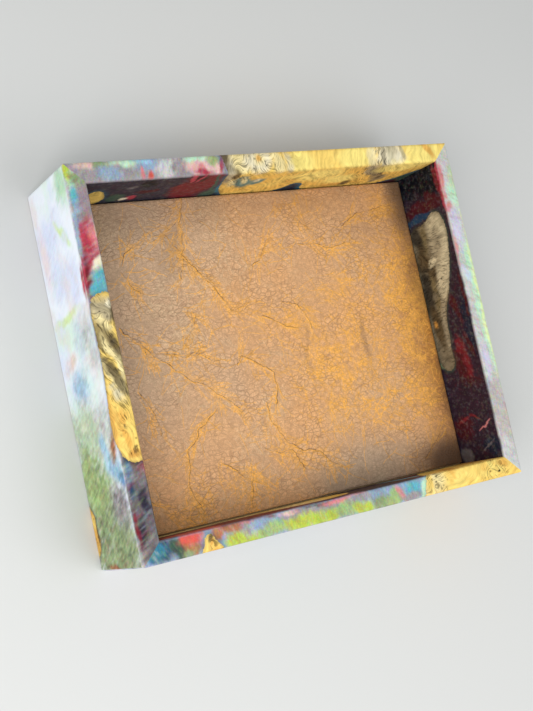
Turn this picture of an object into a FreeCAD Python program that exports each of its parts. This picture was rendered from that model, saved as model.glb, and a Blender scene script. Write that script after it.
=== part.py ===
import FreeCAD, Part
import math
import os
from collections import namedtuple

# A dice tray: four mitred rails of burl wood cast in coloured resin, round a leather-covered floor.
# +X runs along the tray's length, +Y towards its back rail and +Z up, out of the tray.
# The origin is the centre of the footprint, on the surface that the tray stands on. Sizes are in mm.

# Outside of the frame
TRAY_LENGTH = 279.4
TRAY_WIDTH = 228.6
RAIL_HEIGHT = 62.0
RAIL_THICKNESS = 12.7

# Eased edges
RIM_RADIUS = 1.6
FOOT_RADIUS = 1.0
CORNER_RADIUS = 2.0

# Floor, from below: lining, panel held in the rails' grooves, liner board, leather
LINING_THICKNESS = 1.0
PANEL_THICKNESS = 6.0
BOARD_THICKNESS = 3.0
LEATHER_THICKNESS = 2.0
PANEL_HEIGHT = 9.7
GROOVE_DEPTH = 6.0
PANEL_EDGE_GAP = 0.4
PANEL_FACE_GAP = 0.15
LINING_EDGE_GAP = 1.0
BOARD_EDGE_GAP = 0.8
LEATHER_EDGE_GAP = 1.0

# Hidden loose tongues that lock the mitres
TONGUE_THICKNESS = 3.0
TONGUE_WIDTH = 12.0
TONGUE_SETBACK = 10.5
TONGUE_ABOVE_GROOVE = 4.0
TONGUE_BELOW_RIM = 8.0
TONGUE_FACE_GAP = 0.1
TONGUE_TOP_GAP = 0.5

# How far the tools that split wood from resin stand out of the rails
OVERRUN = 0.5
ABOVE_RIM = 4.0

# Below this turn, in radians, an outline's stretch is a line and not an arc
STRAIGHT = 1e-6

# Depths that the cast pieces of burl reach, in from the face that they show on
SIDE_BURL_DEPTH = 9.2
KNOT_DEPTH = 7.7
STREAK_DEPTH = 6.7
CHIP_DEPTH = 5.0
RIM_KNOT_DEPTH = 17.0
RIM_KNOT_LEAN = 12.5

groove_top = PANEL_HEIGHT + PANEL_THICKNESS + PANEL_FACE_GAP
board_height = PANEL_HEIGHT + PANEL_THICKNESS
leather_height = board_height + BOARD_THICKNESS
well_length = TRAY_LENGTH - 2 * RAIL_THICKNESS
well_width = TRAY_WIDTH - 2 * RAIL_THICKNESS
inner_face = RAIL_THICKNESS
up = FreeCAD.Vector(0, 0, 1)

# A side of the frame is a corner of its outer face, the way along it, the way inwards and its length
Side = namedtuple("Side", "corner along inward length")
east = FreeCAD.Vector(1, 0, 0)
north = FreeCAD.Vector(0, 1, 0)
back_left = FreeCAD.Vector(-TRAY_LENGTH / 2, TRAY_WIDTH / 2, 0)
back_right = FreeCAD.Vector(TRAY_LENGTH / 2, TRAY_WIDTH / 2, 0)
front_left = FreeCAD.Vector(-TRAY_LENGTH / 2, -TRAY_WIDTH / 2, 0)
front_right = FreeCAD.Vector(TRAY_LENGTH / 2, -TRAY_WIDTH / 2, 0)
BACK = Side(back_left, east, -north, TRAY_LENGTH)
BACK_FROM_RIGHT = Side(back_right, -east, -north, TRAY_LENGTH)
FRONT = Side(front_left, east, north, TRAY_LENGTH)
FRONT_FROM_RIGHT = Side(front_right, -east, north, TRAY_LENGTH)
LEFT = Side(back_left, -north, east, TRAY_WIDTH)
LEFT_FROM_FRONT = Side(front_left, north, east, TRAY_WIDTH)
RIGHT = Side(back_right, -north, -east, TRAY_WIDTH)


def at(side, along, inward, height):
    """The point this far along a side, in from its outer face and up from its foot."""
    return side.corner + side.along * along + side.inward * inward + up * height


def line(start, end):
    return Part.LineSegment(start, end).toShape()


def round_over(start, end, centre):
    """A quarter of a circle from one point to another."""
    radius = (start - centre).Length
    toward = start + end - centre * 2
    return Part.Arc(start, centre + toward.normalize() * radius, end).toShape()


def headings(points, closed):
    """The way that a smooth outline runs through each point: from its last neighbour to its next."""
    last = len(points) - 1
    ways = []
    for i in range(len(points)):
        before = points[i - 1] if i > 0 or closed else points[0]
        after = points[(i + 1) % len(points)] if i < last or closed else points[last]
        ways.append((after - before).normalize())
    return ways


def meeting_point(start, leaving, end, arriving):
    """Where two arcs meet, the first leaving start along one heading, the second arriving at end."""
    chord = end - start
    reach = chord.dot(leaving + arriving)
    spread = 2 * (1 - leaving.dot(arriving))
    if spread < STRAIGHT:
        arm = chord.dot(chord) / (4 * chord.dot(arriving))
    else:
        arm = (math.sqrt(reach * reach + spread * chord.dot(chord)) - reach) / spread
    return (start + end + (leaving - arriving) * arm) * 0.5


def arc_leaving(start, heading, end, place):
    """The arc, or the line where it is straight, that leaves start along a heading."""
    chord = end - start
    left = up.cross(chord)
    turn = math.atan2(left.dot(heading), chord.dot(heading))
    if abs(turn) < STRAIGHT:
        return line(place(start), place(end))
    top = (start + end) * 0.5 + left * 0.5 * math.tan(turn / 2)
    return Part.Arc(place(start), place(top), place(end)).toShape()


def arcs_through(outline, closed, place):
    """Tangent arcs, two to a span, through points of two numbers each, placed in the tray."""
    points = [FreeCAD.Vector(a, b, 0) for a, b in outline]
    ways = headings(points, closed)
    spans = len(points) if closed else len(points) - 1
    edges = []
    for i in range(spans):
        start, leaving = points[i], ways[i]
        end, arriving = points[(i + 1) % len(points)], ways[(i + 1) % len(points)]
        middle = meeting_point(start, leaving, end, arriving)
        edges.append(arc_leaving(start, leaving, middle, place))
        edges.append(arc_leaving(end, arriving * -1, middle, place))
    return edges


def slab(length, width, height, bottom):
    """A flat rectangular sheet centred in the tray."""
    return Part.makeBox(length, width, height, FreeCAD.Vector(-length / 2, -width / 2, bottom))


def rail_section(side):
    """The rail's moulded section: eased rim and foot, and the groove for the panel."""
    low = FOOT_RADIUS
    high = RAIL_HEIGHT - RIM_RADIUS
    groove_bed = inner_face - GROOVE_DEPTH

    def p(inward, height):
        return at(side, 0, inward, height)

    return Part.Wire([
        line(p(low, 0), p(inner_face - low, 0)),
        round_over(p(inner_face - low, 0), p(inner_face, low), p(inner_face - low, low)),
        line(p(inner_face, low), p(inner_face, PANEL_HEIGHT)),
        line(p(inner_face, PANEL_HEIGHT), p(groove_bed, PANEL_HEIGHT)),
        line(p(groove_bed, PANEL_HEIGHT), p(groove_bed, groove_top)),
        line(p(groove_bed, groove_top), p(inner_face, groove_top)),
        line(p(inner_face, groove_top), p(inner_face, high)),
        round_over(p(inner_face, high), p(inner_face - RIM_RADIUS, RAIL_HEIGHT),
                   p(inner_face - RIM_RADIUS, high)),
        line(p(inner_face - RIM_RADIUS, RAIL_HEIGHT), p(RIM_RADIUS, RAIL_HEIGHT)),
        round_over(p(RIM_RADIUS, RAIL_HEIGHT), p(0, high), p(RIM_RADIUS, high)),
        line(p(0, high), p(0, low)),
        round_over(p(0, low), p(low, 0), p(low, low)),
    ])


def mitred_plan(side):
    """The rail's plan: cut square to its mitres, with half of each eased outer corner."""
    beyond = inner_face + OVERRUN

    def p(along, inward):
        return at(side, along, inward, -OVERRUN)

    def eased(degrees):
        """A place on the corner's arc, this far round it from the outer face, as two distances."""
        turn = math.radians(degrees)
        return CORNER_RADIUS * (1 - math.sin(turn)), CORNER_RADIUS * (1 - math.cos(turn))

    near = [p(along, inward) for along, inward in (eased(45), eased(22.5), eased(0))]
    far = [p(side.length - along, inward) for along, inward in (eased(0), eased(22.5), eased(45))]
    return Part.Wire([
        line(p(beyond, beyond), near[0]),
        Part.Arc(*near).toShape(),
        line(near[2], far[0]),
        Part.Arc(*far).toShape(),
        line(far[2], p(side.length - beyond, beyond)),
        line(p(side.length - beyond, beyond), p(beyond, beyond)),
    ])


def tongue(corner, face_gap=0.0, top_gap=0.0):
    """A thin board on edge across a mitre, or with gaps, the blind slot that it fits."""
    into_tray = FreeCAD.Vector(-math.copysign(1, corner.x), -math.copysign(1, corner.y), 0)
    into_tray.normalize()
    half_width = into_tray.cross(up) * (TONGUE_WIDTH / 2 + face_gap)
    half_thickness = into_tray * (TONGUE_THICKNESS / 2 + face_gap)
    bottom = groove_top + TONGUE_ABOVE_GROOVE
    top = RAIL_HEIGHT - TONGUE_BELOW_RIM + top_gap
    centre = corner + into_tray * TONGUE_SETBACK + up * bottom
    corners = [
        centre + half_width + half_thickness,
        centre - half_width + half_thickness,
        centre - half_width - half_thickness,
        centre + half_width - half_thickness,
    ]
    outline = Part.makePolygon(corners + corners[:1])
    return Part.Face(outline).extrude(up * (top - bottom))


def rail(side):
    """One whole rail, before its wood and its resin are told apart."""
    moulding = Part.Face(rail_section(side)).extrude(side.along * side.length)
    plan = Part.Face(mitred_plan(side)).extrude(up * (RAIL_HEIGHT + 2 * OVERRUN))
    solid = moulding.common(plan)
    far_corner = side.corner + side.along * side.length
    for corner in (side.corner, far_corner):
        solid = solid.cut(tongue(corner, TONGUE_FACE_GAP, TONGUE_TOP_GAP))
    return solid


def live_edge_slab(side, edge, lean_along, lean_up):
    """A slab of burl that goes right through the rail and shows on its rim.

    Its natural lower edge is drawn on the inner face, as places along the rail and heights, and
    on its way out to the outer face it leans along the rail and up.
    """
    inward = inner_face + OVERRUN

    def place(point):
        return at(side, point.x, inward, point.y)

    top = max(RAIL_HEIGHT, max(height for along, height in edge)) + ABOVE_RIM
    first = at(side, edge[0][0], inward, edge[0][1])
    last = at(side, edge[-1][0], inward, edge[-1][1])
    above_first = at(side, edge[0][0], inward, top)
    above_last = at(side, edge[-1][0], inward, top)
    edges = arcs_through(edge, False, place)
    edges += [line(last, above_last), line(above_last, above_first), line(above_first, first)]
    through = side.along * lean_along - side.inward * (inward + OVERRUN) + up * lean_up
    return Part.Face(Part.Wire(edges)).extrude(through)


def cast_lump(side, face, depth, outline, lean_along, lean_up):
    """A lump of burl that shows on one face and leans along and up on its way into the rail.

    The face is given as its distance in from the rail's outer face, and a lump that is let in from
    the inner face goes outwards, so that its depth is negative.
    """
    overrun = -math.copysign(OVERRUN, depth)

    def place(point):
        return at(side, point.x, face + overrun, point.y)

    edges = arcs_through(outline, True, place)
    into_rail = side.inward * (depth - overrun) + side.along * lean_along + up * lean_up
    return Part.Face(Part.Wire(edges)).extrude(into_rail)


def back_slab():
    """The long slab that makes the right two thirds of the back rail."""
    edge = [(-8, 68), (12, 47), (26, 25), (44, 14), (74, 11), (95, 18), (106, 33), (116, 21),
            (130, 12), (150, 12), (163, 27), (170, 45), (175, 65)]
    return live_edge_slab(BACK_FROM_RIGHT, edge, 2.5, -3)


def back_knot():
    """The small knot low on the back rail's inner face, by the left corner."""
    outline = [(22, 39), (27, 44), (34, 35), (36, 25), (31, 17.5), (24, 27)]
    return cast_lump(BACK, inner_face, -KNOT_DEPTH, outline, -1, 3)


def left_slab():
    """The slab in the middle of the left rail, deep on the inner face and thin at the outer one."""
    edge = [(76, 66), (76, 46), (82, 29), (100, 27.5), (118, 28), (135, 25.5), (148, 23.5),
            (160, 25), (169, 34), (172, 50), (170, 66)]
    return live_edge_slab(LEFT, edge, -1, 34.5)


def left_chip():
    """The chip at the foot of the left rail's outer face, by the front corner."""
    outline = [(8, -4), (10, 4), (17, 8), (24, 6.5), (33, 6), (37, -4)]
    return cast_lump(LEFT_FROM_FRONT, 0, CHIP_DEPTH, outline, 1, -1)


def right_slab():
    """The long piece in the right rail's inner face, which stays below the rim."""
    outline = [(44, 50), (55, 57), (73, 55), (94, 48), (114, 38), (134, 35.5), (151, 32),
               (144, 20), (110, 17.5), (70, 17.5), (52, 20), (49, 34)]
    return cast_lump(RIGHT, inner_face, -SIDE_BURL_DEPTH, outline, 3, -4)


def front_slab():
    """The slab at the front rail's right end."""
    edge = [(-6, 10), (26, 9), (47, 15), (60, 28), (68, 41), (75, 53), (80, 65)]
    return live_edge_slab(FRONT_FROM_RIGHT, edge, 3.5, -2)


def front_streak():
    """The streak along the front rail's inner face, low at the left and rising to the right."""
    outline = [(18, 25), (42, 33), (72, 31), (97, 37), (114, 51), (131, 56), (149, 48),
               (155, 30), (139, 19), (80, 17.5), (34, 17.5)]
    return cast_lump(FRONT, inner_face, -STREAK_DEPTH, outline, 2, -3)


def front_knot():
    """The pointed knot on the front rail's rim, which leans back and down its outer face."""
    outline = [(36.5, -4), (38, 4), (42, 10), (46.5, 6), (50.5, -4)]

    def place(point):
        return at(FRONT, point.x, point.y, RAIL_HEIGHT + OVERRUN)

    edges = arcs_through(outline, True, place)
    down = up * -(RIM_KNOT_DEPTH + OVERRUN) - FRONT.inward * RIM_KNOT_LEAN + FRONT.along
    return Part.Face(Part.Wire(edges)).extrude(down)


def cast_rail(side, name, burls):
    """Splits a rail into its pieces of burl and the resin that was poured round them."""
    resin = rail(side)
    pieces = {}
    for burl_name, burl in burls.items():
        pieces[burl_name] = resin.common(burl)
        resin = resin.cut(burl)
    pieces[name + "_rail_resin"] = resin
    return pieces


def floor_pieces():
    """The stack between the rails: the panel in its grooves, and what is glued over and under it."""
    in_groove = 2 * (GROOVE_DEPTH - PANEL_EDGE_GAP)
    return {
        "base_panel": slab(well_length + in_groove, well_width + in_groove,
                           PANEL_THICKNESS, PANEL_HEIGHT),
        "liner_board": slab(well_length - 2 * BOARD_EDGE_GAP, well_width - 2 * BOARD_EDGE_GAP,
                            BOARD_THICKNESS, board_height),
        "leather_lining": slab(well_length - 2 * LEATHER_EDGE_GAP, well_width - 2 * LEATHER_EDGE_GAP,
                               LEATHER_THICKNESS, leather_height),
        "underside_lining": slab(well_length - 2 * LINING_EDGE_GAP, well_width - 2 * LINING_EDGE_GAP,
                                 LINING_THICKNESS, PANEL_HEIGHT - LINING_THICKNESS),
    }


def mitre_tongues():
    return {
        "mitre_tongue_back_left": tongue(back_left),
        "mitre_tongue_back_right": tongue(back_right),
        "mitre_tongue_front_left": tongue(front_left),
        "mitre_tongue_front_right": tongue(front_right),
    }


def tray():
    pieces = {}
    pieces.update(cast_rail(BACK, "back", {
        "back_rail_burl_slab": back_slab(),
        "back_rail_burl_knot": back_knot(),
    }))
    pieces.update(cast_rail(FRONT, "front", {
        "front_rail_burl_slab": front_slab(),
        "front_rail_burl_streak": front_streak(),
        "front_rail_burl_knot": front_knot(),
    }))
    pieces.update(cast_rail(LEFT, "left", {
        "left_rail_burl_slab": left_slab(),
        "left_rail_burl_chip": left_chip(),
    }))
    pieces.update(cast_rail(RIGHT, "right", {
        "right_rail_burl_slab": right_slab(),
    }))
    pieces.update(mitre_tongues())
    pieces.update(floor_pieces())
    return pieces


os.makedirs("parts", exist_ok=True)
for node, shape in tray().items():
    Part.makeCompound(shape.Solids).exportStep("parts/" + node + ".step")
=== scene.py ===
import math
from collections import namedtuple

import bmesh
import bpy
import numpy as np
from mathutils import Matrix, Vector
from mathutils.geometry import delaunay_2d_cdt


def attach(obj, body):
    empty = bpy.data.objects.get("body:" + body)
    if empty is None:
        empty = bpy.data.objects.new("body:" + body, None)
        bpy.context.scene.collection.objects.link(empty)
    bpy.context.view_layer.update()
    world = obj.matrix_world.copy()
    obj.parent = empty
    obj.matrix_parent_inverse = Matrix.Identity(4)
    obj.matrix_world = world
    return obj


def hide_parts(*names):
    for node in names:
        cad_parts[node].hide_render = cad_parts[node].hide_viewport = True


# A dice tray: four mitred rails of burl wood cast in colour-shift resin, round a floor of waxed leather.
# Shapes are worked out in millimetres, in the tray's own frame, and put into the meshes in metres.

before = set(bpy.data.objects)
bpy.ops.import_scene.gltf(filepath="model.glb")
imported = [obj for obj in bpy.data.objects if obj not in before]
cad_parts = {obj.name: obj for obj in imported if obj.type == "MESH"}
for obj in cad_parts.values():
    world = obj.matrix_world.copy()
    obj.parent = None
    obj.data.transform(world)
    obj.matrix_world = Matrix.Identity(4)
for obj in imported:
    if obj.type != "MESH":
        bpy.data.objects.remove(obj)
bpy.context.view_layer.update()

MM = 0.001

# The frame's outside, and the moulding that every rail is milled to
TRAY_LENGTH = 279.4
TRAY_WIDTH = 228.6
RAIL_HEIGHT = 62.0
RAIL_THICKNESS = 12.7
RIM_RADIUS = 1.6
FOOT_RADIUS = 1.0
CORNER_RADIUS = 2.0
GROOVE_BOTTOM = 9.7
GROOVE_TOP = 15.85
ARC_STEPS = 12

# How finely the rails' faces are tiled, so that their colours and soft edges can follow the pour
TILE = 0.9
SEAM_STEP = 1.5

# A corner this near the section lies on it, and one this near a seam or a lip lies on that, in mm
ON_SECTION = 0.01
ON_SEAM = 0.02
# A facet under an eased edge sinks in no further than this at its middle, and a wall goes deeper
FACET_SINK = 0.3
# The least cosine from a facet to the section's outward direction, and the most lean of an upright one
FLAT_ENOUGH = 0.85
UPRIGHT_LEAN = 0.1


def linear(hexes):
    """An sRGB colour written as #rrggbb, as linear light: c/12.92, or ((c + 0.055)/1.055) to the 2.4."""
    coded = np.array([int(hexes[i:i + 2], 16) for i in (1, 3, 5)]) / 255.0
    return np.where(coded <= 0.04045, coded / 12.92, ((coded + 0.055) / 1.055) ** 2.4)


def paint(hexes):
    """The same colour as Blender's sockets take it, with full alpha."""
    return (*linear(hexes).tolist(), 1.0)


# Patterns that both the rails and the leather are drawn with

# The hills' heights repeat after this many units
HILLS_ACROSS = 128
# The cosine and sine that each layer of drift is turned by, about 37 degrees, and the spread of them all
LAYER_TURN = (0.8, 0.6)
LAYERS_SPREAD = 1.4
SEEDS_APART = 17


def hills(a, b, seed):
    """Smooth hills one unit apart, from -1 to 1.

    Random heights stand on the corners of a unit grid, and between them they blend by 3t^2 - 2t^3.
    """
    heights = np.random.default_rng(seed).uniform(-1, 1, (HILLS_ACROSS, HILLS_ACROSS))
    i, j = np.floor(a).astype(int), np.floor(b).astype(int)
    s, t = a - i, b - j
    s, t = s * s * (3 - 2 * s), t * t * (3 - 2 * t)
    i, j = i % HILLS_ACROSS, j % HILLS_ACROSS
    next_i, next_j = (i + 1) % HILLS_ACROSS, (j + 1) % HILLS_ACROSS
    low = heights[i, j] * (1 - s) + heights[next_i, j] * s
    high = heights[i, next_j] * (1 - s) + heights[next_i, next_j] * s
    return low * (1 - t) + high * t


def drift(a, b, size, seed, layers=4):
    """Cloudy variation about size mm across: hills, and half as high ones half as wide, layer on
    layer, each turned a little from the last.
    """
    cos, sin = LAYER_TURN
    total = 0
    for layer in range(layers):
        a, b = cos * a - sin * b, sin * a + cos * b
        scale = 2.0 ** layer / size
        total = total + hills(a * scale, b * scale, seed * SEEDS_APART + layer) / 2.0 ** layer
    return total / LAYERS_SPREAD


def soft_step(low, high, value):
    """0 below low, 1 above high, and 3t^2 - 2t^3 between them."""
    t = np.clip((value - low) / (high - low), 0, 1)
    return t * t * (3 - 2 * t)


def beside(a, starts, ends, reach):
    """Each stretch with the run of places, in order of a, that lie beside it or within reach of that."""
    low = np.searchsorted(a, np.minimum(starts[:, 0], ends[:, 0]) - reach)
    high = np.searchsorted(a, np.maximum(starts[:, 0], ends[:, 0]) + reach)
    return zip(starts, ends, map(slice, low, high))


def distance_to(a, b, starts, ends, reach=6.0):
    """The least distance from each place to the straight stretches from starts to ends, up to reach,
    and the same with a sign for the side of the nearest stretch that the place lies on.

    It is the distance to the foot of the perpendicular, or to the stretch's end where the foot falls
    past it. The places are put in order of a, so that each stretch is measured only from those
    beside it.
    """
    order = np.argsort(a)
    a, b = a[order], b[order]
    least = np.full(len(a), reach)
    side = np.ones(len(a))
    for start, end, run in beside(a, starts, ends, reach):
        way = end - start
        x, y = a[run] - start[0], b[run] - start[1]
        t = np.clip((x * way[0] + y * way[1]) / max(way @ way, 1e-12), 0, 1)
        off = np.hypot(x - t * way[0], y - t * way[1])
        nearer = off < least[run]
        least[run][nearer] = off[nearer]
        side[run][nearer] = np.where(x * way[1] > y * way[0], 1, -1)[nearer]
    distance = np.empty(len(a))
    aside = np.empty(len(a))
    distance[order] = least
    aside[order] = least * side
    return distance, aside


def tint(colours, share, hexes):
    """Colours moved towards one hex colour by a share from 0 to 1 at each place."""
    return colours + (linear(hexes) - colours) * np.clip(share, 0, 1)[:, None]


# Meshes, attributes and materials


SHARP_ANGLE = 32


def piece(name, places, faces, material, slot):
    """A finished piece from places in mm and faces, smooth but for edges sharper than SHARP_ANGLE."""
    mesh = bpy.data.meshes.new(name)
    mesh.from_pydata((places * MM).tolist(), [], faces)
    mesh.shade_smooth()
    mesh.set_sharp_from_angle(angle=math.radians(SHARP_ANGLE))
    mesh.materials.append(material)
    made = bpy.data.objects.new(name, mesh)
    bpy.context.scene.collection.objects.link(made)
    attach(made, "root")
    return made


def write_attribute(mesh, name, kind, values):
    """Puts one number, vector or colour per vertex into the mesh under a name."""
    layer = mesh.attributes.new(name, kind, "POINT")
    if kind == "FLOAT_COLOR":
        values = np.concatenate([values, np.ones((len(values), 1))], 1)
    field = {"FLOAT": "value", "FLOAT_VECTOR": "vector", "FLOAT_COLOR": "color"}[kind]
    layer.data.foreach_set(field, np.ascontiguousarray(values, dtype=np.float32).ravel())


def adder(tree):
    """Gives the one function that adds a node with its settings, values and links."""

    def add(kind, links, **settings):
        made = tree.nodes.new("ShaderNode" + kind)
        for name, value in settings.items():
            setattr(made, name, value)
        for key, value in links.items():
            if isinstance(value, bpy.types.Node):
                value = value.outputs[0]
            if isinstance(value, bpy.types.NodeSocket):
                tree.links.new(value, made.inputs[key])
            else:
                made.inputs[key].default_value = value
        return made

    return add


def new_material(name):
    """An empty material and its adder."""
    material = bpy.data.materials.new(name)
    material.use_nodes = True
    material.node_tree.nodes.clear()
    return material, adder(material.node_tree)


# The rails: their moulded section, and their faces laid flat and rolled up again

Rail = namedtuple("Rail", "corner along inward length")
RAILS = {
    "back": Rail((-TRAY_LENGTH / 2, TRAY_WIDTH / 2), (1, 0), (0, -1), TRAY_LENGTH),
    "front": Rail((-TRAY_LENGTH / 2, -TRAY_WIDTH / 2), (1, 0), (0, 1), TRAY_LENGTH),
    "left": Rail((-TRAY_LENGTH / 2, TRAY_WIDTH / 2), (0, -1), (1, 0), TRAY_WIDTH),
    "right": Rail((TRAY_LENGTH / 2, TRAY_WIDTH / 2), (0, -1), (-1, 0), TRAY_WIDTH),
}


def moulded_section():
    """Places round the section: up the inner face, over the rim, down the outer face and back in
    under the foot, straight between quarter circles. Gives the way round, the distance in from the
    outer face and the height of each.
    """
    turn = np.linspace(0, np.pi / 2, ARC_STEPS + 1)
    high = RAIL_HEIGHT - RIM_RADIUS
    inner = RAIL_THICKNESS
    rim, foot = RIM_RADIUS, FOOT_RADIUS
    inward = np.concatenate([
        [inner],
        inner - rim + rim * np.cos(turn),
        rim - rim * np.sin(turn),
        foot - foot * np.cos(turn),
        inner - foot + foot * np.sin(turn),
        [inner],
    ])
    height = np.concatenate([
        [GROOVE_TOP],
        high + rim * np.sin(turn),
        high + rim * np.cos(turn),
        foot - foot * np.sin(turn),
        foot - foot * np.cos(turn),
        [GROOVE_BOTTOM],
    ])
    way = np.concatenate([[0], np.cumsum(np.hypot(np.diff(inward), np.diff(height)))])
    return way, inward, height


SECTION_WAY, SECTION_IN, SECTION_UP = moulded_section()
RIM_INNER_WAY = SECTION_WAY[1 + ARC_STEPS]
OUTER_WAY = SECTION_WAY[2 * (ARC_STEPS + 1)]
FOOT_WAY = SECTION_WAY[2 * (ARC_STEPS + 1) + 1 + ARC_STEPS]
WAY_ROUND = SECTION_WAY[-1]


# How many places are measured at once, to keep the arrays small
CHUNK = 8000


def way_round(inward, height):
    """How far round the section its nearest place is to each given one, and how far off that is.

    The nearest place is the foot of the perpendicular on the nearest of the section's chords.
    """
    starts = np.stack([SECTION_IN[:-1], SECTION_UP[:-1]], 1)
    ways = np.stack([np.diff(SECTION_IN), np.diff(SECTION_UP)], 1)
    steps = np.diff(SECTION_WAY)
    way = np.empty(len(inward))
    off = np.empty(len(inward))
    for first in range(0, len(inward), CHUNK):
        chunk = slice(first, first + CHUNK)
        rel = np.stack([inward[chunk], height[chunk]], 1)[:, None] - starts[None]
        t = np.clip((rel * ways).sum(2) / steps ** 2, 0, 1)
        gap = np.sqrt(((rel - t[..., None] * ways) ** 2).sum(2))
        best = gap.argmin(1)
        rows = np.arange(len(best))
        way[chunk] = SECTION_WAY[best] + t[rows, best] * steps[best]
        off[chunk] = gap[rows, best]
    return way, off


def section_outward(way):
    """The outward direction at a way round the section, as inward and height parts: the step from
    just before the place to just after it, a quarter turn round.
    """
    before, after = way - ON_SECTION, way + ON_SECTION
    inward = np.interp(after, SECTION_WAY, SECTION_IN) - np.interp(before, SECTION_WAY, SECTION_IN)
    height = np.interp(after, SECTION_WAY, SECTION_UP) - np.interp(before, SECTION_WAY, SECTION_UP)
    size = np.hypot(inward, height)
    return height / size, -inward / size


def to_rail(rail, places):
    """Places in the tray as along the rail, inward from its outer face, and height."""
    rel = places[:, :2] - np.array(rail.corner)
    return np.stack([rel @ np.array(rail.along), rel @ np.array(rail.inward), places[:, 2]], 1)


def from_rail(rail, local):
    """The opposite of to_rail."""
    flat = local[:, :1] * np.array(rail.along) + local[:, 1:2] * np.array(rail.inward)
    return np.concatenate([flat + np.array(rail.corner), local[:, 2:]], 1)


def unroll(rail, chart, local):
    """A face's places laid flat, as a distance along the rail and a way round its section.

    Chart 1 is the moulded section. Charts 2 and 3 are the eased outer corners at its two ends,
    quarter rounds whose arc length is counted as distance along the rail.
    """
    if chart == 1:
        return local[:, 0], way_round(local[:, 1], local[:, 2])[0]
    along = local[:, 0] if chart == 2 else rail.length - local[:, 0]
    turn = np.arctan2(CORNER_RADIUS - along, CORNER_RADIUS - local[:, 1])
    along = CORNER_RADIUS * (1 - turn)
    along = along if chart == 2 else rail.length - along
    return along, OUTER_WAY + RAIL_HEIGHT - RIM_RADIUS - local[:, 2]


def roll_up(rail, chart, along, way):
    """The opposite of unroll."""
    if chart == 1:
        inward = np.interp(way, SECTION_WAY, SECTION_IN)
        return np.stack([along, inward, np.interp(way, SECTION_WAY, SECTION_UP)], 1)
    along = along if chart == 2 else rail.length - along
    turn = 1 - along / CORNER_RADIUS
    inward = CORNER_RADIUS * (1 - np.cos(turn))
    along = CORNER_RADIUS * (1 - np.sin(turn))
    along = along if chart == 2 else rail.length - along
    return np.stack([along, inward, OUTER_WAY + RAIL_HEIGHT - RIM_RADIUS - way], 1)


def facing_out(rail, local, faces):
    """Each triangle's outward direction, twice its area long, its part along the section's outward
    direction there, and how far off the section the triangle's middle is.
    """
    a, b, c = (local[faces[:, k]] for k in range(3))
    outward = np.cross(b - a, c - a)
    outward *= rail.along[0] * rail.inward[1] - rail.along[1] * rail.inward[0]
    middle = (a + b + c) / 3
    way, off = way_round(middle[:, 1], middle[:, 2])
    inward_part, height_part = section_outward(way)
    return outward, outward[:, 1] * inward_part + outward[:, 2] * height_part, off


def charts_of(rail, local, faces):
    """Which chart each triangle lies in: 1 the section, 2 and 3 the eased corners, 0 a hidden wall."""
    outward, facing, middle_off = facing_out(rail, local, faces)
    size = np.linalg.norm(outward, axis=1) + 1e-12
    off = way_round(local[:, 1], local[:, 2])[1]
    section = (off[faces] < ON_SECTION).all(1) & (facing / size > FLAT_ENOUGH)
    section &= middle_off < FACET_SINK
    chart = np.where(section, 1, 0)
    for number, along in ((2, local[:, 0]), (3, rail.length - local[:, 0])):
        radius = np.hypot(CORNER_RADIUS - along, CORNER_RADIUS - local[:, 1])
        on_corner = np.abs(radius - CORNER_RADIUS) < ON_SECTION
        on_corner &= along < CORNER_RADIUS + ON_SECTION
        upright = np.abs(outward[:, 2]) / size < UPRIGHT_LEAN
        eased = on_corner[faces].all(1) & upright & (chart == 0)
        chart[eased] = number
    return chart


def inside_outline(a, b, starts, ends):
    """True where a line upwards from a place crosses the outline an odd number of times."""
    order = np.argsort(a)
    across, up = a[order], b[order]
    odd = np.zeros(len(a), bool)
    for start, end, run in beside(across, starts, ends, 0):
        if run.stop > run.start:
            slope = (end[1] - start[1]) / (end[0] - start[0])
            odd[run] ^= start[1] + (across[run] - start[0]) * slope > up[run]
    inside = np.empty(len(a), bool)
    inside[order] = odd
    return inside


# How far the tiles' grid stands off the whole numbers, in tiles, so that no corner falls on an outline
GRID_SHIFT = (0.29, 0.387)
SAME_PLACE = 1e-6


def tiled_chart(rail, chart, corners, rim):
    """Tiles one flat chart with small triangles between its outline, then rolls it up again.

    corners are the outline's places along and inward and up, and rim the pairs that it joins. The
    tiles' corners lie on a staggered grid. Gives the new places and the triangles, which count the
    outline's corners first.
    """
    along, way = unroll(rail, chart, corners)
    outline = np.stack([along, way], 1)
    low = np.floor(outline.min(0) / TILE) * TILE
    count = np.ceil((outline.max(0) - low) / TILE).astype(int) + 1
    i, j = np.meshgrid(np.arange(count[0]), np.arange(count[1]), indexing="ij")
    grid_along = low[0] + (i + GRID_SHIFT[0] + 0.5 * (j % 2)) * TILE
    grid_way = low[1] + (j + GRID_SHIFT[1]) * TILE
    grid = np.stack([grid_along.ravel(), grid_way.ravel()], 1)
    points = np.concatenate([outline, grid])
    flat, _, faces, sources, _, _ = delaunay_2d_cdt(points.tolist(), rim.tolist(), [], 1, SAME_PLACE)
    flat = np.array([place[:] for place in flat])
    faces = np.array(faces)
    middle = flat[faces].mean(1)
    faces = faces[inside_outline(middle[:, 0], middle[:, 1], outline[rim[:, 0]], outline[rim[:, 1]])]
    source = np.array([min(found) if found else len(points) for found in sources])
    kept = source < len(outline)
    numbers = np.where(kept, source, len(outline) + np.cumsum(~kept) - 1)
    return roll_up(rail, chart, flat[~kept, 0], flat[~kept, 1]), numbers[faces]


def outward_round(rail, local, faces):
    """The faces turned so that they point out of the rail. They all turn one way, so a few tell."""
    facing = facing_out(rail, local, faces[:200])[1].sum()
    return faces if facing > 0 else faces[:, ::-1]


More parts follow.
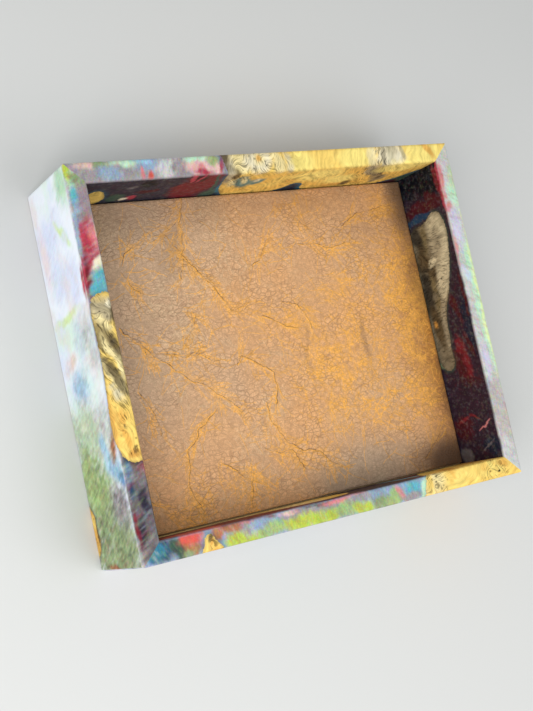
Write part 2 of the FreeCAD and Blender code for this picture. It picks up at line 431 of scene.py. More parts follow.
def numbered(work, rail):
    """A triangulated bmesh's corners in the rail's frame, and its triangles as corner numbers."""
    work.verts.index_update()
    local = to_rail(rail, np.array([corner.co[:] for corner in work.verts]) / MM)
    return local, np.array([[corner.index for corner in face.verts] for face in work.faces])


def fine_rail_piece(rail, node):
    """A closed copy of a cast piece, finely tiled where it shows.

    The CAD mesh's loose triangles are joined in a copy. Its visible faces are unrolled, tiled anew
    inside the same outlines and rolled up on the true section, and its hidden walls stay as they
    are. Gives places in the rail's frame, triangles, and the stretches of the outline where wood
    meets resin.
    """
    work = bmesh.new()
    work.from_mesh(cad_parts[node].data)
    bmesh.ops.remove_doubles(work, verts=work.verts, dist=0.001 * MM)
    bmesh.ops.triangulate(work, faces=work.faces)
    local, faces = numbered(work, rail)
    mark = work.faces.layers.int.new("chart")
    for face, chart in zip(work.faces, charts_of(rail, local, faces).tolist()):
        face[mark] = chart
    while True:
        seams = [edge for edge in work.edges if len({face[mark] for face in edge.link_faces}) > 1]
        seams = [edge for edge in seams if edge.calc_length() > SEAM_STEP * MM]
        if not seams:
            break
        bmesh.ops.subdivide_edges(work, edges=seams, cuts=1)
    bmesh.ops.triangulate(work, faces=work.faces)
    local, faces = numbered(work, rail)
    charts = np.array([face[mark] for face in work.faces])
    pairs = np.array([[corner.index for corner in edge.verts] for edge in work.edges])
    sides = [[face[mark] for face in edge.link_faces] for edge in work.edges]
    sides = np.array([[beside.count(chart) for chart in range(4)] for beside in sides])
    work.free()
    all_places = [local]
    all_faces = [faces[charts == 0]]
    count = len(local)
    for chart in (1, 2, 3):
        rim = pairs[sides[:, chart] == 1]
        if not len(rim):
            continue
        used, rim = np.unique(rim, return_inverse=True)
        new, tiles = tiled_chart(rail, chart, local[used], rim.reshape(-1, 2))
        numbers = np.concatenate([used, count + np.arange(len(new))])
        all_places.append(new)
        count += len(new)
        all_faces.append(outward_round(rail, np.concatenate(all_places), numbers[tiles]))
    places = np.concatenate(all_places)
    faces = np.concatenate(all_faces)
    along, inward, height = np.moveaxis(local[pairs[(sides[:, 1] == 1) & (sides[:, 0] > 0)]], 2, 0)
    mitred = (np.abs(along - inward) < ON_SEAM) | (np.abs(rail.length - along - inward) < ON_SEAM)
    way = way_round(inward.ravel(), height.ravel())[0].reshape(-1, 2)
    lip = (way < ON_SEAM) | (way > WAY_ROUND - ON_SEAM)
    natural = ~(mitred.all(1) | lip.all(1))
    flat = np.stack([along, way], 2)[natural]
    used, faces = np.unique(faces, return_inverse=True)
    return places[used], faces.reshape(-1, 3), flat


# The rails: the pour and the wood

CAST_PIECES = {
    "back_rail_resin": "cast_resin",
    "back_rail_burl_slab": "burl_wood",
    "back_rail_burl_knot": "burl_wood",
    "front_rail_resin": "cast_resin",
    "front_rail_burl_slab": "burl_wood",
    "front_rail_burl_streak": "burl_wood",
    "front_rail_burl_knot": "burl_wood",
    "left_rail_resin": "cast_resin",
    "left_rail_burl_slab": "burl_wood",
    "left_rail_burl_chip": "burl_wood",
    "right_rail_resin": "cast_resin",
    "right_rail_burl_slab": "burl_wood",
}


def inner(depth):
    """The way round the section of a place on the inner face, this deep below the rim."""
    return RAIL_HEIGHT - depth - GROOVE_TOP


def rim(from_outer):
    """The way round of a place on the rim, this far in from the outer face."""
    return RIM_INNER_WAY + RAIL_THICKNESS - RIM_RADIUS - from_outer


def outer(height):
    """The way round of a place on the outer face, this high above the foot."""
    return OUTER_WAY + RAIL_HEIGHT - RIM_RADIUS - height


# Shades of the pigments in the resin
RESIN = {
    "pearl": "#f1f7ff", "lilac": "#c9c6d8", "mist": "#c2c4c1", "dove": "#b5afab", "dusk": "#93828a",
    "slate": "#969093", "steel": "#8ba0b6", "sky": "#9cc2dc", "azure": "#5b8fbd", "navy": "#223c58",
    "ink": "#1c2133", "night": "#0b0e18", "plum": "#2f2a38", "maroon": "#30202e", "wine": "#45161f",
    "garnet": "#6f2029", "crimson": "#ab3c4c", "rose": "#cc7f80", "blush": "#dcb6b0",
    "ember": "#cf5a4e", "rust": "#a8704c", "teal": "#5aa9b6", "lagoon": "#32748a", "spruce": "#3d5548",
    "olive": "#8b9a70", "moss": "#9bb175", "lime": "#b2c04a", "mint": "#bde0c1", "smoke": "#645e60",
    "cream": "#e8dfc6", "haze": "#c6d5e0", "sage": "#b9cdaa", "citron": "#d9ecae", "peach": "#e8d3c8",
    "frost": "#dde5fa", "foam": "#ddf3e6", "shell": "#f0e4ea",
}

# The resin's shade on each face: inner face, rim, outer face and foot. The pale pearl of the outer
# faces and the pale mist of the right rim are painted sheen, the mica's pearly reflection
GROUND_AND_SHEEN = {
    "back": ("plum", "slate", "pearl", "lilac"),
    "front": ("garnet", "steel", "lilac", "pearl"),
    "left": ("maroon", "slate", "pearl", "lilac"),
    "right": ("maroon", "mist", "pearl", "lilac"),
}

# Pours over that ground, in the order in which they cover one another. Each is its place along the
# rail, its way round the section, half its length, half its breadth, its turn in degrees and its shade.
POURS = {
    "back": [
        (14, rim(3), 9, 3, 0, "blush"), (22, rim(5), 5, 6, 30, "olive"),
        (38, rim(1.5), 10, 3, 0, "mint"), (26, rim(8), 9, 4, 0, "steel"),
        (52, rim(3), 11, 5, 0, "steel"), (50, rim(1), 8, 2.5, 0, "sky"),
        (48, rim(9), 1.6, 5, 20, "rose"), (54, rim(10), 1.6, 4, -10, "ember"),
        (66, rim(6), 9, 6, 0, "mist"), (75, rim(8), 5, 5, 0, "slate"), (86, rim(8), 8, 6, 0, "blush"),
        (88, rim(10), 6, 3.5, 0, "rose"), (88, rim(11), 6, 1.4, 0, "crimson"),
        (93, rim(8), 4, 4, 20, "blush"), (86, rim(2), 8, 3, 0, "mint"), (95, rim(4), 4, 4, 0, "moss"),
        (98, rim(9), 3, 4, 0, "blush"), (101, rim(5), 1.2, 8, -8, "crimson"),
        (92, inner(20), 15, 32, 0, "garnet"), (86, inner(6), 6, 9, 0, "wine"),
        (82, inner(5), 1.6, 8, 10, "crimson"), (87, inner(8), 1.0, 8, -8, "crimson"),
        (57, inner(9), 5.5, 7, 20, "night"), (49, inner(14), 4, 2.5, 40, "smoke"),
        (62, inner(24), 7, 3, 15, "wine"), (44, inner(34), 6, 7, 0, "spruce"),
        (55, inner(35), 4, 5, 0, "crimson"), (51, inner(37), 3, 2.5, 30, "cream"),
        (20, inner(30), 9, 12, 0, "plum"), (111, inner(36), 5, 10, -25, "spruce"),
        (105, inner(20), 1.3, 24, 18, "spruce"), (111, inner(24), 1.2, 12, 18, "lagoon"),
        (170, inner(40), 9, 9, 0, "ink"), (262, inner(35), 20, 14, 20, "spruce"),
        (252, inner(42), 14, 6, 0, "wine"), (258, inner(23), 8, 6, 30, "smoke"),
        (30, outer(30), 22, 9, 70, "mint"), (62, outer(38), 16, 8, -60, "sky"),
        (84, outer(20), 13, 11, 30, "blush"), (96, outer(50), 12, 8, 0, "moss"),
        (110, outer(12), 22, 8, 0, "steel"), (196, outer(10), 40, 7, 4, "steel"),
        (248, outer(18), 22, 9, 20, "moss"), (262, outer(34), 12, 12, 0, "sky"),
    ],
    "front": [
        (12, rim(8), 8, 9, 0, "navy"), (10, rim(7), 7, 5, 0, "lagoon"), (21, rim(8), 4, 5, 0, "spruce"),
        (23, rim(4), 4, 7, 0, "spruce"), (31, rim(9.5), 8, 5, 0, "ember"),
        (30, rim(3), 6, 4, 0, "rust"), (27, rim(1), 4, 3, 0, "olive"), (49, rim(9), 5, 5, -30, "rust"),
        (57, rim(10.5), 5, 3, 0, "garnet"), (66, rim(11.5), 14, 2.5, 0, "garnet"),
        (70, rim(11), 6, 1.5, 0, "rose"), (80, rim(11.5), 7, 2, 0, "garnet"),
        (66, rim(7.5), 6, 3, 0, "slate"), (76, rim(9), 6, 3.5, 0, "steel"),
        (88, rim(6), 5, 2.5, 0, "teal"), (59, rim(9.5), 6, 3, 0, "rust"),
        (99, rim(9), 9, 3.5, 0, "slate"), (97, rim(11.5), 8, 1.8, 0, "blush"),
        (120, rim(9), 16, 3.5, 0, "slate"), (116, rim(11.8), 14, 1.4, 0, "smoke"),
        (128, rim(11.5), 10, 1.6, 0, "rose"), (60, rim(2.5), 8, 4.5, 0, "lime"),
        (74, rim(1.5), 9, 3.5, 0, "lime"), (86, rim(3.5), 9, 5, 0, "moss"),
        (82, rim(3), 7, 3.5, 0, "moss"), (104, rim(3), 14, 5, 0, "lime"),
        (122, rim(3), 13, 5, 0, "lime"), (133, rim(5), 6, 5, 0, "moss"), (140, rim(4), 9, 6, 0, "moss"),
        (150, rim(2.5), 9, 4, 0, "lime"), (148, rim(9), 9, 3, 0, "slate"),
        (144, rim(11.8), 8, 1.2, 0, "rose"), (163, rim(4), 6, 5, 0, "olive"),
        (172, rim(5), 6, 6, 30, "moss"), (178, rim(6), 2.2, 8, -28, "rose"),
        (188, rim(8), 6, 5, 0, "teal"), (186, rim(2.5), 8, 3, 0, "slate"),
        (196, rim(5), 2.4, 9, 12, "mint"),
        (40, inner(8), 22, 9, 0, "ember"), (80, inner(9), 26, 9, 0, "garnet"),
        (170, inner(20), 28, 30, 0, "maroon"), (205, inner(24), 6, 24, -32, "teal"),
        (22, inner(30), 10, 12, 0, "wine"), (130, inner(4), 16, 4, 0, "wine"),
        (14, outer(44), 13, 16, 0, "lagoon"), (34, outer(30), 14, 12, 30, "rose"),
        (64, outer(50), 20, 11, 0, "lime"), (96, outer(34), 26, 8, 24, "moss"),
        (126, outer(52), 22, 9, 0, "lime"), (120, outer(16), 24, 9, 0, "sky"),
        (160, outer(30), 20, 9, -35, "steel"), (180, outer(50), 14, 9, 0, "sky"),
        (196, outer(24), 9, 16, 20, "mint"), (70, outer(12), 22, 7, 0, "lilac"),
        (222, outer(12), 30, 7, 0, "moss"),
    ],
    "left": [
        (6, rim(2), 11, 4, 0, "mint"), (4, rim(0.5), 7, 2.5, 0, "lime"), (10, rim(7), 6, 5, 0, "olive"),
        (20, rim(2), 7, 3, 0, "teal"), (28, rim(3), 7, 3, 0, "steel"), (24, rim(9), 10, 5, 0, "dusk"),
        (32, rim(7), 4, 6, 0, "slate"), (46, rim(8), 15, 6, 0, "crimson"),
        (44, rim(10), 9, 3.5, 0, "rose"), (56, rim(5), 13, 4, 6, "crimson"),
        (66, rim(2), 13, 3, 4, "garnet"), (42, rim(1), 14, 1.8, 0, "steel"),
        (46, rim(3.4), 10, 1.6, 0, "crimson"), (66, rim(0.5), 11, 1.4, 0, "crimson"),
        (40, rim(12), 5, 1.5, 0, "cream"), (60, rim(11), 7, 3, 28, "cream"),
        (71, rim(9.5), 8, 5, 20, "teal"), (75, rim(5), 3, 3, 0, "teal"),
        (174, rim(8), 5, 9, -14, "garnet"), (168.5, rim(6), 2.2, 10, -14, "smoke"),
        (178, rim(2), 8, 3, 0, "azure"), (200, rim(6), 28, 12, 0, "smoke"),
        (192, rim(9), 9, 3, -10, "plum"), (208, rim(4), 9, 3, 10, "plum"),
        (186, rim(3), 5, 2, 0, "navy"), (206, rim(1), 10, 1.5, 0, "garnet"),
        (30, outer(22), 14, 20, -30, "frost"), (58, outer(26), 13, 18, 20, "frost"),
        (92, outer(22), 10, 22, 0, "foam"), (66, outer(46), 16, 10, 0, "frost"),
        (40, outer(8), 20, 6, 0, "shell"), (82, outer(22), 3.0, 24, -8, "citron"),
        (36, outer(42), 3.0, 14, 42, "foam"), (36, outer(42), 2.0, 12, 42, "citron"),
        (8, outer(53), 14, 9, 0, "mint"), (108, outer(16), 4, 12, -14, "peach"),
        (122, outer(26), 10, 15, -10, "sky"), (98, outer(40), 14, 10, 30, "haze"),
        (100, outer(52), 16, 10, 0, "mist"), (150, outer(34), 17, 40, 0, "mist"),
        (148, outer(10), 16, 16, 0, "sage"), (190, outer(24), 36, 26, 0, "moss"),
        (210, outer(36), 24, 30, 20, "olive"), (176, outer(10), 18, 14, 0, "moss"),
        (216, outer(14), 14, 14, 0, "olive"), (146, outer(24), 12, 14, 30, "sage"),
        (160, outer(41), 10, 5, -16, "sky"), (172, outer(50), 7, 14, 24, "sky"),
        (177, outer(58), 4, 6, 0, "azure"), (160, outer(54), 8, 4, 20, "rust"),
        (192, outer(48), 12, 12, 0, "slate"), (184, outer(14), 12, 10, 20, "moss"),
        (220, outer(30), 12, 34, 0, "olive"), (227, outer(22), 2, 9, 0, "rust"),
        (12, outer(20), 12, 12, 0, "pearl"), (68, outer(59.5), 10, 2.2, 0, "crimson"),
        (60, inner(20), 26, 18, 0, "wine"), (110, inner(40), 34, 9, 0, "ink"),
        (196, inner(22), 26, 30, 0, "night"), (24, inner(30), 16, 14, 0, "spruce"),
        (178, inner(14), 6, 22, 12, "crimson"),
    ],
    "right": [
        # The inner face lies dark in night, ink and wine: partly the pour's own dark, partly painted
        # shade on a face turned from the light
        (12, inner(20), 20, 60, 0, "night"), (38, inner(24), 5.5, 26, 6, "wine"),
        (34, inner(12), 4, 9, -30, "wine"), (28, inner(1.5), 24, 1.6, 0, "crimson"),
        (24, inner(4), 12, 2, 8, "garnet"), (45, inner(30), 3.0, 14, 6, "navy"),
        (88, inner(5), 34, 4, 6, "maroon"), (124, inner(5), 20, 5, 0, "ink"),
        (104, inner(3), 16, 1.4, 0, "wine"), (108, inner(15), 16, 3, 22, "wine"),
        (146, inner(17), 17, 6, 10, "garnet"), (148, inner(24), 12, 8, 30, "wine"),
        (163, inner(18), 6, 14, 10, "wine"), (138, inner(9), 9, 2, 20, "wine"),
        (152, inner(30), 10, 6, 0, "maroon"), (178, inner(20), 18, 30, 0, "maroon"),
        (146, inner(38), 4, 5, 20, "olive"), (194, inner(33), 8, 11, 0, "wine"),
        (193, inner(10), 0.5, 7, 22, "rose"), (187, inner(20), 0.6, 6, -18, "garnet"),
        (189, inner(31), 1.4, 8, 24, "garnet"), (207, inner(8), 6, 9, 0, "ink"),
        (212, inner(37), 6, 6, 0, "smoke"), (207, inner(13), 0.7, 8, 30, "smoke"),
        (24, rim(11.5), 14, 1.8, 0, "rose"), (44, rim(10.5), 5, 2.4, -25, "rose"),
        (74, rim(11.8), 14, 1.4, 0, "rose"), (35, rim(4), 8, 5, 0, "mint"),
        (22, rim(3), 9, 3, 0, "sage"), (86, rim(3.5), 18, 3.5, 0, "mint"),
        (112, rim(4), 14, 3.5, 0, "mint"), (140, rim(3), 20, 2.6, 0, "mint"),
        (110, rim(1.0), 62, 1.8, 0, "citron"), (92, rim(8), 5, 2.5, 20, "haze"),
        (60, rim(8), 16, 4, 0, "lilac"), (166, rim(11), 6, 2.2, 0, "steel"),
        (194, rim(10), 1.4, 4, 24, "blush"), (186, rim(6), 30, 8, 0, "dove"),
        (208, rim(8), 6, 5, 0, "mist"), (150, rim(9), 12, 3, 0, "lilac"),
        (34, outer(40), 24, 12, 30, "mint"), (78, outer(26), 12, 24, -24, "sky"),
        (120, outer(44), 26, 9, 10, "lilac"), (112, outer(14), 30, 8, 0, "blush"),
        (160, outer(28), 16, 22, 30, "moss"), (196, outer(42), 18, 14, 0, "mint"),
        (206, outer(16), 16, 10, -20, "steel"),
    ],
}

# Small pours strewn over the outer faces: how many, and the shades they take
STREWN = {"back": 46, "front": 40, "left": 0, "right": 40}
STREWN_SHADES = ("mint", "sky", "blush", "moss", "steel", "frost", "sage", "foam", "peach", "haze")


def strewn_pours(side, seed):
    """Small pours at random places of the outer face, long and thin, leaning as the pour ran."""
    random = np.random.default_rng(seed)
    return [
        (random.uniform(4, 276), outer(random.uniform(3, 58)), random.uniform(5, 18),
         random.uniform(2, 6), random.normal(35, 22), str(random.choice(STREWN_SHADES)))
        for _ in range(STREWN[side])
    ]


# Shades of the stabilised wood
BURL = {
    "gold": "#f4d272", "honeyed": "#f4c562", "yellow": "#fee988", "straw": "#f5e3a6",
    "cream": "#f2e9c9", "amber": "#e4ad54", "honey": "#d49c4c", "ash": "#d9d0ae", "stone": "#aca287",
    "dusk": "#a8a295", "tan": "#877d66", "olive": "#857856", "umber": "#5c4e36", "char": "#33302b",
    "verdigris": "#3f7f86",
}

# The right rail's burl is tan and its figures grey and dark: partly the wood's own grey, partly painted
# shade on a face turned from the light
BURL_GROUND = {"back": "gold", "front": "gold", "left": "gold", "right": "tan"}

# The wood's own figure, laid in the same way as the pours
FIGURES = {
    "back": [
        (190, inner(22), 95, 24, 0, "honeyed"),
        (190, outer(32), 95, 34, 0, "honeyed"),
        (107, rim(5), 6, 12, 0, "dusk"), (109, rim(9), 3, 2, 0, "cream"),
        (105, rim(3), 3, 5, 0, "umber"), (107, rim(10), 5, 3, 0, "tan"),
        (116, rim(6), 7, 9, 12, "straw"), (129, rim(5), 10, 9, 0, "cream"),
        (130, rim(4), 4, 5, 0, "straw"), (130, rim(4), 1.8, 2.4, 0, "amber"),
        (142, rim(7), 4, 9, 15, "straw"), (150, rim(8), 3, 9, 12, "ash"),
        (160, rim(7), 10, 10, 0, "yellow"), (176, rim(7), 9, 10, 0, "gold"),
        (201, rim(6), 14, 10, 0, "yellow"), (213, rim(6), 3, 9, 8, "straw"),
        (229, rim(6), 13, 12, 0, "cream"), (222, rim(6), 2.0, 10, 4, "stone"),
        (229, rim(5), 3, 9, 0, "ash"), (236, rim(7), 3.2, 5, 0, "cream"),
        (241, rim(5), 1.8, 8, 0, "stone"), (258, rim(6), 15, 11, 0, "yellow"),
        (262, rim(4), 3, 8, 30, "amber"),
        # On the inner face the gold and yellow figures are partly the wood's own gold and partly painted
        # light, lifting a face that the lamps leave dim
        (110, inner(10), 3.5, 12, 16, "stone"), (114, inner(6), 3, 8, 20, "umber"),
        (118, inner(20), 3, 8, 20, "straw"), (124, inner(36), 8, 6, 0, "honeyed"),
        (126, inner(18), 6, 12, 26, "verdigris"), (137, inner(21), 4.5, 7, -20, "verdigris"),
        (126, inner(16), 2.4, 7, 26, "straw"), (136.5, inner(18), 1.8, 4, -20, "ash"),
        (158, inner(18), 12, 9, 20, "gold"), (163, inner(21), 5, 4, 0, "amber"),
        (178, inner(14), 5, 16, 24, "gold"), (205, inner(39), 12, 3, 0, "amber"),
        (150, inner(28), 8, 6, 0, "gold"), (220, inner(9), 4, 12, 24, "stone"),
        (229, inner(18), 5, 14, 28, "tan"), (231, inner(15), 1.4, 14, 28, "umber"),
        (238, inner(31), 7, 7, 0, "tan"), (237, inner(30), 2, 2, 0, "umber"),
        (240, inner(8), 16, 10, 0, "yellow"), (182, inner(14), 20, 12, 0, "yellow"),
        (205, inner(26), 14, 9, 0, "yellow"), (214, inner(36), 4, 6, 0, "umber"),
        (150, outer(40), 26, 16, 0, "amber"), (226, outer(40), 9, 26, 12, "olive"),
        (190, outer(44), 16, 18, 0, "gold"), (124, outer(46), 7, 14, -14, "stone"),
        (172, outer(24), 16, 8, 0, "amber"), (256, outer(46), 14, 14, 0, "amber"),
    ],
    "front": [
        (42, rim(7), 1.6, 3.6, 24, "umber"), (43, rim(4), 1.0, 3, 20, "honey"),
        (205, rim(6), 10, 10, 0, "straw"), (201, rim(6), 3, 6, 0, "gold"),
        (232, rim(6), 17, 10, 0, "yellow"), (255, rim(6), 9, 10, 0, "yellow"),
        (264, rim(9), 5, 3, 20, "amber"), (248, rim(10), 3, 3, 30, "amber"),
        (60, inner(34), 44, 12, 0, "straw"), (118, inner(24), 16, 20, 0, "straw"),
        (140, inner(12), 10, 8, 0, "gold"), (240, inner(20), 30, 26, 0, "gold"),
        (228, inner(14), 6, 20, 30, "amber"), (262, inner(28), 10, 12, 0, "honey"),
        (240, outer(32), 60, 34, 0, "honeyed"), (240, outer(40), 26, 16, 0, "gold"),
        (228, outer(44), 8, 10, 20, "amber"), (258, outer(24), 14, 10, 0, "honey"),
        (44, outer(52), 5, 12, 0, "amber"),
    ],
    "left": [
        (84, rim(5), 8, 8, -20, "stone"), (80, rim(10), 3, 3, 0, "cream"),
        (92, rim(5), 7, 3, -30, "straw"), (86, rim(11), 6, 2, 0, "umber"),
        (102, rim(5), 11, 5, -24, "olive"), (110, rim(8), 12, 2.2, -24, "straw"),
        (108, rim(11), 12, 2.4, -14, "umber"), (122, rim(3), 12, 2.6, -16, "straw"),
        (124, rim(6), 14, 3.4, -20, "umber"), (132, rim(9), 12, 3.4, -10, "olive"),
        (120, rim(11), 6, 2, 0, "straw"), (134, rim(4), 7, 3, -30, "ash"),
        (150, rim(6), 14, 8, 0, "gold"), (148, rim(5), 6, 4, -20, "amber"),
        (156, rim(10), 9, 3, -20, "gold"), (158, rim(5), 8, 2, -30, "amber"),
        (166, rim(10), 2.5, 4, 0, "honey"), (153, rim(5.5), 1.6, 1.0, -30, "umber"),
        (164, rim(10.5), 2.4, 0.8, 0, "umber"),
        (120, inner(20), 30, 18, 0, "tan"), (150, inner(14), 16, 16, 0, "gold"),
        (96, inner(18), 14, 12, 0, "olive"),
        (148, outer(55), 18, 8, 0, "amber"), (206, outer(3), 14, 6, 0, "amber"),
        (206, outer(7), 12, 2, 0, "umber"), (200, outer(3), 4, 3, 0, "gold"),
    ],
    "right": [
        # Grey and dark figures: partly the wood's own, partly painted shade
        (62, inner(14), 20, 10, 10, "ash"), (86, inner(18), 20, 8, -16, "ash"),
        (64, inner(18), 12, 6, 0, "stone"), (60, inner(31), 12, 4, -14, "olive"),
        (82, inner(29), 12, 5, 10, "umber"), (98, inner(31), 14, 4, 0, "olive"),
        (54, inner(38), 16, 6, 10, "char"), (74, inner(37), 10, 7, 0, "umber"),
        (96, inner(38), 18, 6, -6, "char"), (120, inner(37), 16, 5, 8, "umber"),
        (124, inner(27), 18, 4.5, -6, "stone"), (76, inner(27), 3, 5, 30, "ash"),
        (100, inner(32), 3, 4, 0, "tan"), (118, inner(39), 2.6, 2.2, 0, "honey"),
    ],
}

# Where small eyes crowd in the burl, laid in the same way
EYES = {
    "back": [
        (128, rim(5), 12, 9, 0), (163, inner(20), 14, 14, 0), (124, inner(34), 10, 8, 0),
        (237, inner(30), 8, 8, 0), (170, outer(40), 30, 20, 0),
    ],
    "front": [
        (206, rim(6), 12, 10, 0), (256, rim(6), 10, 8, 0), (80, inner(30), 50, 12, 0),
        (230, outer(36), 20, 16, 0),
    ],
    "left": [
        (158, rim(8), 9, 6, 0), (88, rim(8), 8, 6, 0), (206, outer(3), 14, 8, 0),
        (130, inner(18), 30, 16, 0),
    ],
    "right": [(100, inner(30), 40, 10, 0)],
}

# Where the wood is drawn through with dark needles along its grain
STREAKS = {
    "back": [
        (127, rim(6), 24, 12, 0), (223, rim(6), 6, 12, 0), (225, inner(18), 14, 22, 20),
        (118, inner(12), 8, 14, 0),
    ],
    "front": [
        (42, rim(6), 3, 6, 20), (205, rim(7), 9, 9, 0), (256, rim(5), 12, 7, 0),
        (80, inner(32), 50, 8, 0),
    ],
    "left": [(108, rim(6), 34, 12, 0), (166, rim(9), 4, 4, 0), (120, inner(20), 40, 30, 0)],
    "right": [(96, inner(30), 60, 24, 0)],
}

# The knots that the grain runs round: place along, way round and half breadth
KNOTS = {
    "back": [
        (130, rim(4), 5), (237, inner(30), 5), (163, inner(20), 7), (112, rim(9), 4),
        (190, outer(44), 9),
    ],
    "front": [
        (43, rim(6), 4), (206, rim(6), 5), (252, rim(4), 4), (262, rim(10), 3), (60, inner(36), 6),
    ],
    "left": [(156, rim(6), 5), (88, rim(7), 4), (130, inner(16), 7), (206, outer(3), 4)],
    "right": [(70, inner(40), 6)],
}

# How the grain runs: the way across it in degrees from the rail's length, on the rim and on the inner
# face, and how far it wanders
GRAIN = {"back": (-22, 30, 6.0), "front": (58, 58, 7.0), "left": (64, 64, 5.0), "right": (6, 6, 3.0)}

# Shades that the shifting pigment clouds over the rim
CLOUDS = ("moss", "steel", "crimson", "smoke", "mist")

# The skin between wood and resin: its shade on the resin's side and its width
FRINGE = {
    "back": ("lagoon", 2.6), "front": ("spruce", 1.4), "left": ("ink", 1.5), "right": ("spruce", 1.6),
}


def ground_shade(side, way):
    """The face's shade, with the painted sheen of the outer face, running into its neighbour's over the
    eased edge.
    """
    stops = [
        0, RIM_INNER_WAY - 2.5, RIM_INNER_WAY - 1, OUTER_WAY - 2, OUTER_WAY + 1,
        FOOT_WAY - 3, FOOT_WAY + 2, WAY_ROUND,
    ]
    shades = [linear(RESIN[name]) for name in GROUND_AND_SHEEN[side] for _ in range(2)]
    return np.stack([np.interp(way, stops, [shade[k] for shade in shades]) for k in range(3)], 1)


def strokes(along, way, size, seed):
    """Drift drawn out into hair strokes, four times as long as wide, that lean by 30 degrees."""
    long_way = 0.5 * along + 0.87 * way
    short_way = 0.87 * along - 0.5 * way
    return drift(short_way, 0.25 * long_way, size, seed, 3)


# How far the pour is pulled along the rail and round its section, each as mm of pull by a drift mm wide
PULL_ALONG = ((3.0, 22), (1.0, 6))
PULL_ROUND = ((2.2, 18), (0.9, 6))


def swept(along, way, seed):
    """Places pulled out of line by the drift of the pour, and how ragged its edges are there."""
    sweeps = []
    for number, pulls in enumerate((PULL_ALONG, PULL_ROUND)):
        (wide, wide_size), (close, close_size) = pulls
        sweeps.append(wide * drift(along, way, wide_size, seed + 2 * number)
                      + close * drift(along, way, close_size, seed + 2 * number + 1))
    ragged = 0.12 * drift(along, way, 3, seed + 4) + 0.22 * strokes(along, way, 2.0, seed + 5)
    return along + sweeps[0], way + sweeps[1], ragged


def lies_in(place, height, length, breadth, turn, drifted, soft):
    """1 inside an ellipse and 0 outside it, over an edge that is ragged and as soft as told.

    The reach from its middle, in half lengths and half breadths, is compared with a little under 1.
    """
    along, way, ragged = drifted
    cos, sin = math.cos(math.radians(turn)), math.sin(math.radians(turn))
    x = (along - place) * cos + (way - height) * sin
    y = (way - height) * cos - (along - place) * sin
    return 1 - soft_step(0.95 - soft, 0.95 + soft, np.hypot(x / length, y / breadth) + ragged)


def faces_at(way):
    """How much of each place belongs to the inner face, the rim, and the outer face with the foot."""
    past_inner = soft_step(RIM_INNER_WAY - 2.4, RIM_INNER_WAY + 0.2, way)
    past_rim = soft_step(OUTER_WAY - 0.8, OUTER_WAY + 1.6, way)
    return 1 - past_inner, past_inner * (1 - past_rim), past_rim


def face_of(height):
    """Which of those three a pour's middle lies on."""
    return 0 if height < RIM_INNER_WAY - 0.7 else 1 if height < OUTER_WAY + 0.2 else 2


# How soft a pour's edge looks on the inner face and the rim, on the outer face, where it lies deeper,
# and in the wood
SOFT_EDGE = (0.24, 0.42)
SOFT_OUTSIDE = {"back": 0.5, "front": 0.5, "left": 0.62, "right": 0.5}
SOFT_FIGURE = 0.4

# How far the eye weighs red, green and blue
LIGHTNESS = np.array([0.21, 0.72, 0.07])
# Pearly hazes, pastel tints of the painted sheen where the outer face is pale, and how strongly each
# tints it
HAZES = (("peach", 0.4), ("frost", 0.7), ("foam", 0.6))


def resin_colours(side, along, way, edge, seed):
    """Colour of the resin: each face's shade with the painted sheen of the outer face, the pours, clouds
    and specks of shifting pigment, and the skin where it set against the wood.
    """
    drifted = swept(along, way, seed)
    shares = faces_at(way)
    colours = ground_shade(side, way)
    soft = SOFT_EDGE + (SOFT_OUTSIDE[side],)
    for pour in strewn_pours(side, seed + 90) + POURS[side]:
        face = face_of(pour[1])
        covered = lies_in(*pour[:5], drifted, soft[face]) * shares[face]
        colours = tint(colours, covered, RESIN[pour[5]])
    dark = 1 - np.clip(colours @ LIGHTNESS, 0, 1)
    clouded = 0.22 * shares[1] + 0.36 * shares[2] * dark
    for number, shade in enumerate(CLOUDS):
        cloud = soft_step(0.15, 0.9, strokes(along, way, 2.0, seed + 20 + number)) * clouded
        speck = soft_step(0.2, 0.8, drift(along, way, 1.5, seed + 40 + number, 2)) * 0.08 * shares[0]
        colours = tint(colours, cloud + speck, RESIN[shade])
    pale = soft_step(0.35, 0.75, 1 - dark) * shares[2]
    for number, (shade, share) in enumerate(HAZES):
        haze = soft_step(0.0, 0.9, drift(along, way, 14, seed + 33 + number)) * pale
        colours = tint(colours, share * haze, RESIN[shade])
    depth = 0.2 * dark * (1 - shares[2]) + dark ** 2 * shares[2]
    shimmer = 1 + depth * (strokes(along, way, 1.4, seed + 31) + 0.7 * drift(along, way, 3.4, seed + 32))
    colours = np.clip(colours * shimmer[:, None], 0, 1)
    shade, width = FRINGE[side]
    skin = np.exp(-(edge / width) ** 2) * (0.55 + 0.45 * drift(along, way, 9, seed + 30))
    return tint(colours, 0.8 * skin, RESIN[shade])


def burl_colours(side, along, way, edge, grain, seed):
    """Colour of the wood: its ground, its figure, dashes along the grain, and the darker bark along
    its natural edge.
    """
    drifted = swept(along, way, seed + 50)
    colours = np.tile(linear(BURL[BURL_GROUND[side]]), (len(along), 1))
    for figure in FIGURES[side]:
        colours = tint(colours, 0.9 * lies_in(*figure[:5], drifted, SOFT_FIGURE), BURL[figure[5]])
    dashes = soft_step(0.1, 0.65, drift(grain[:, 0], 0.3 * grain[:, 1], 1.5, seed + 61, 3))
    colours = colours * (1 - 0.34 * dashes * faces_at(way)[0])[:, None]
    bark = np.exp(-(edge / 1.1) ** 2) * (0.5 + 0.5 * drift(along, way, 6, seed + 60))
    return tint(colours, 0.75 * bark, BURL["umber"])


# Small knots at random places of each rail: how many, and from and to where they lie and how broad
SMALL_KNOTS = 14
SMALL_KNOTS_FROM = (10, 5, 2.5)
SMALL_KNOTS_TO = (270, 110, 6)


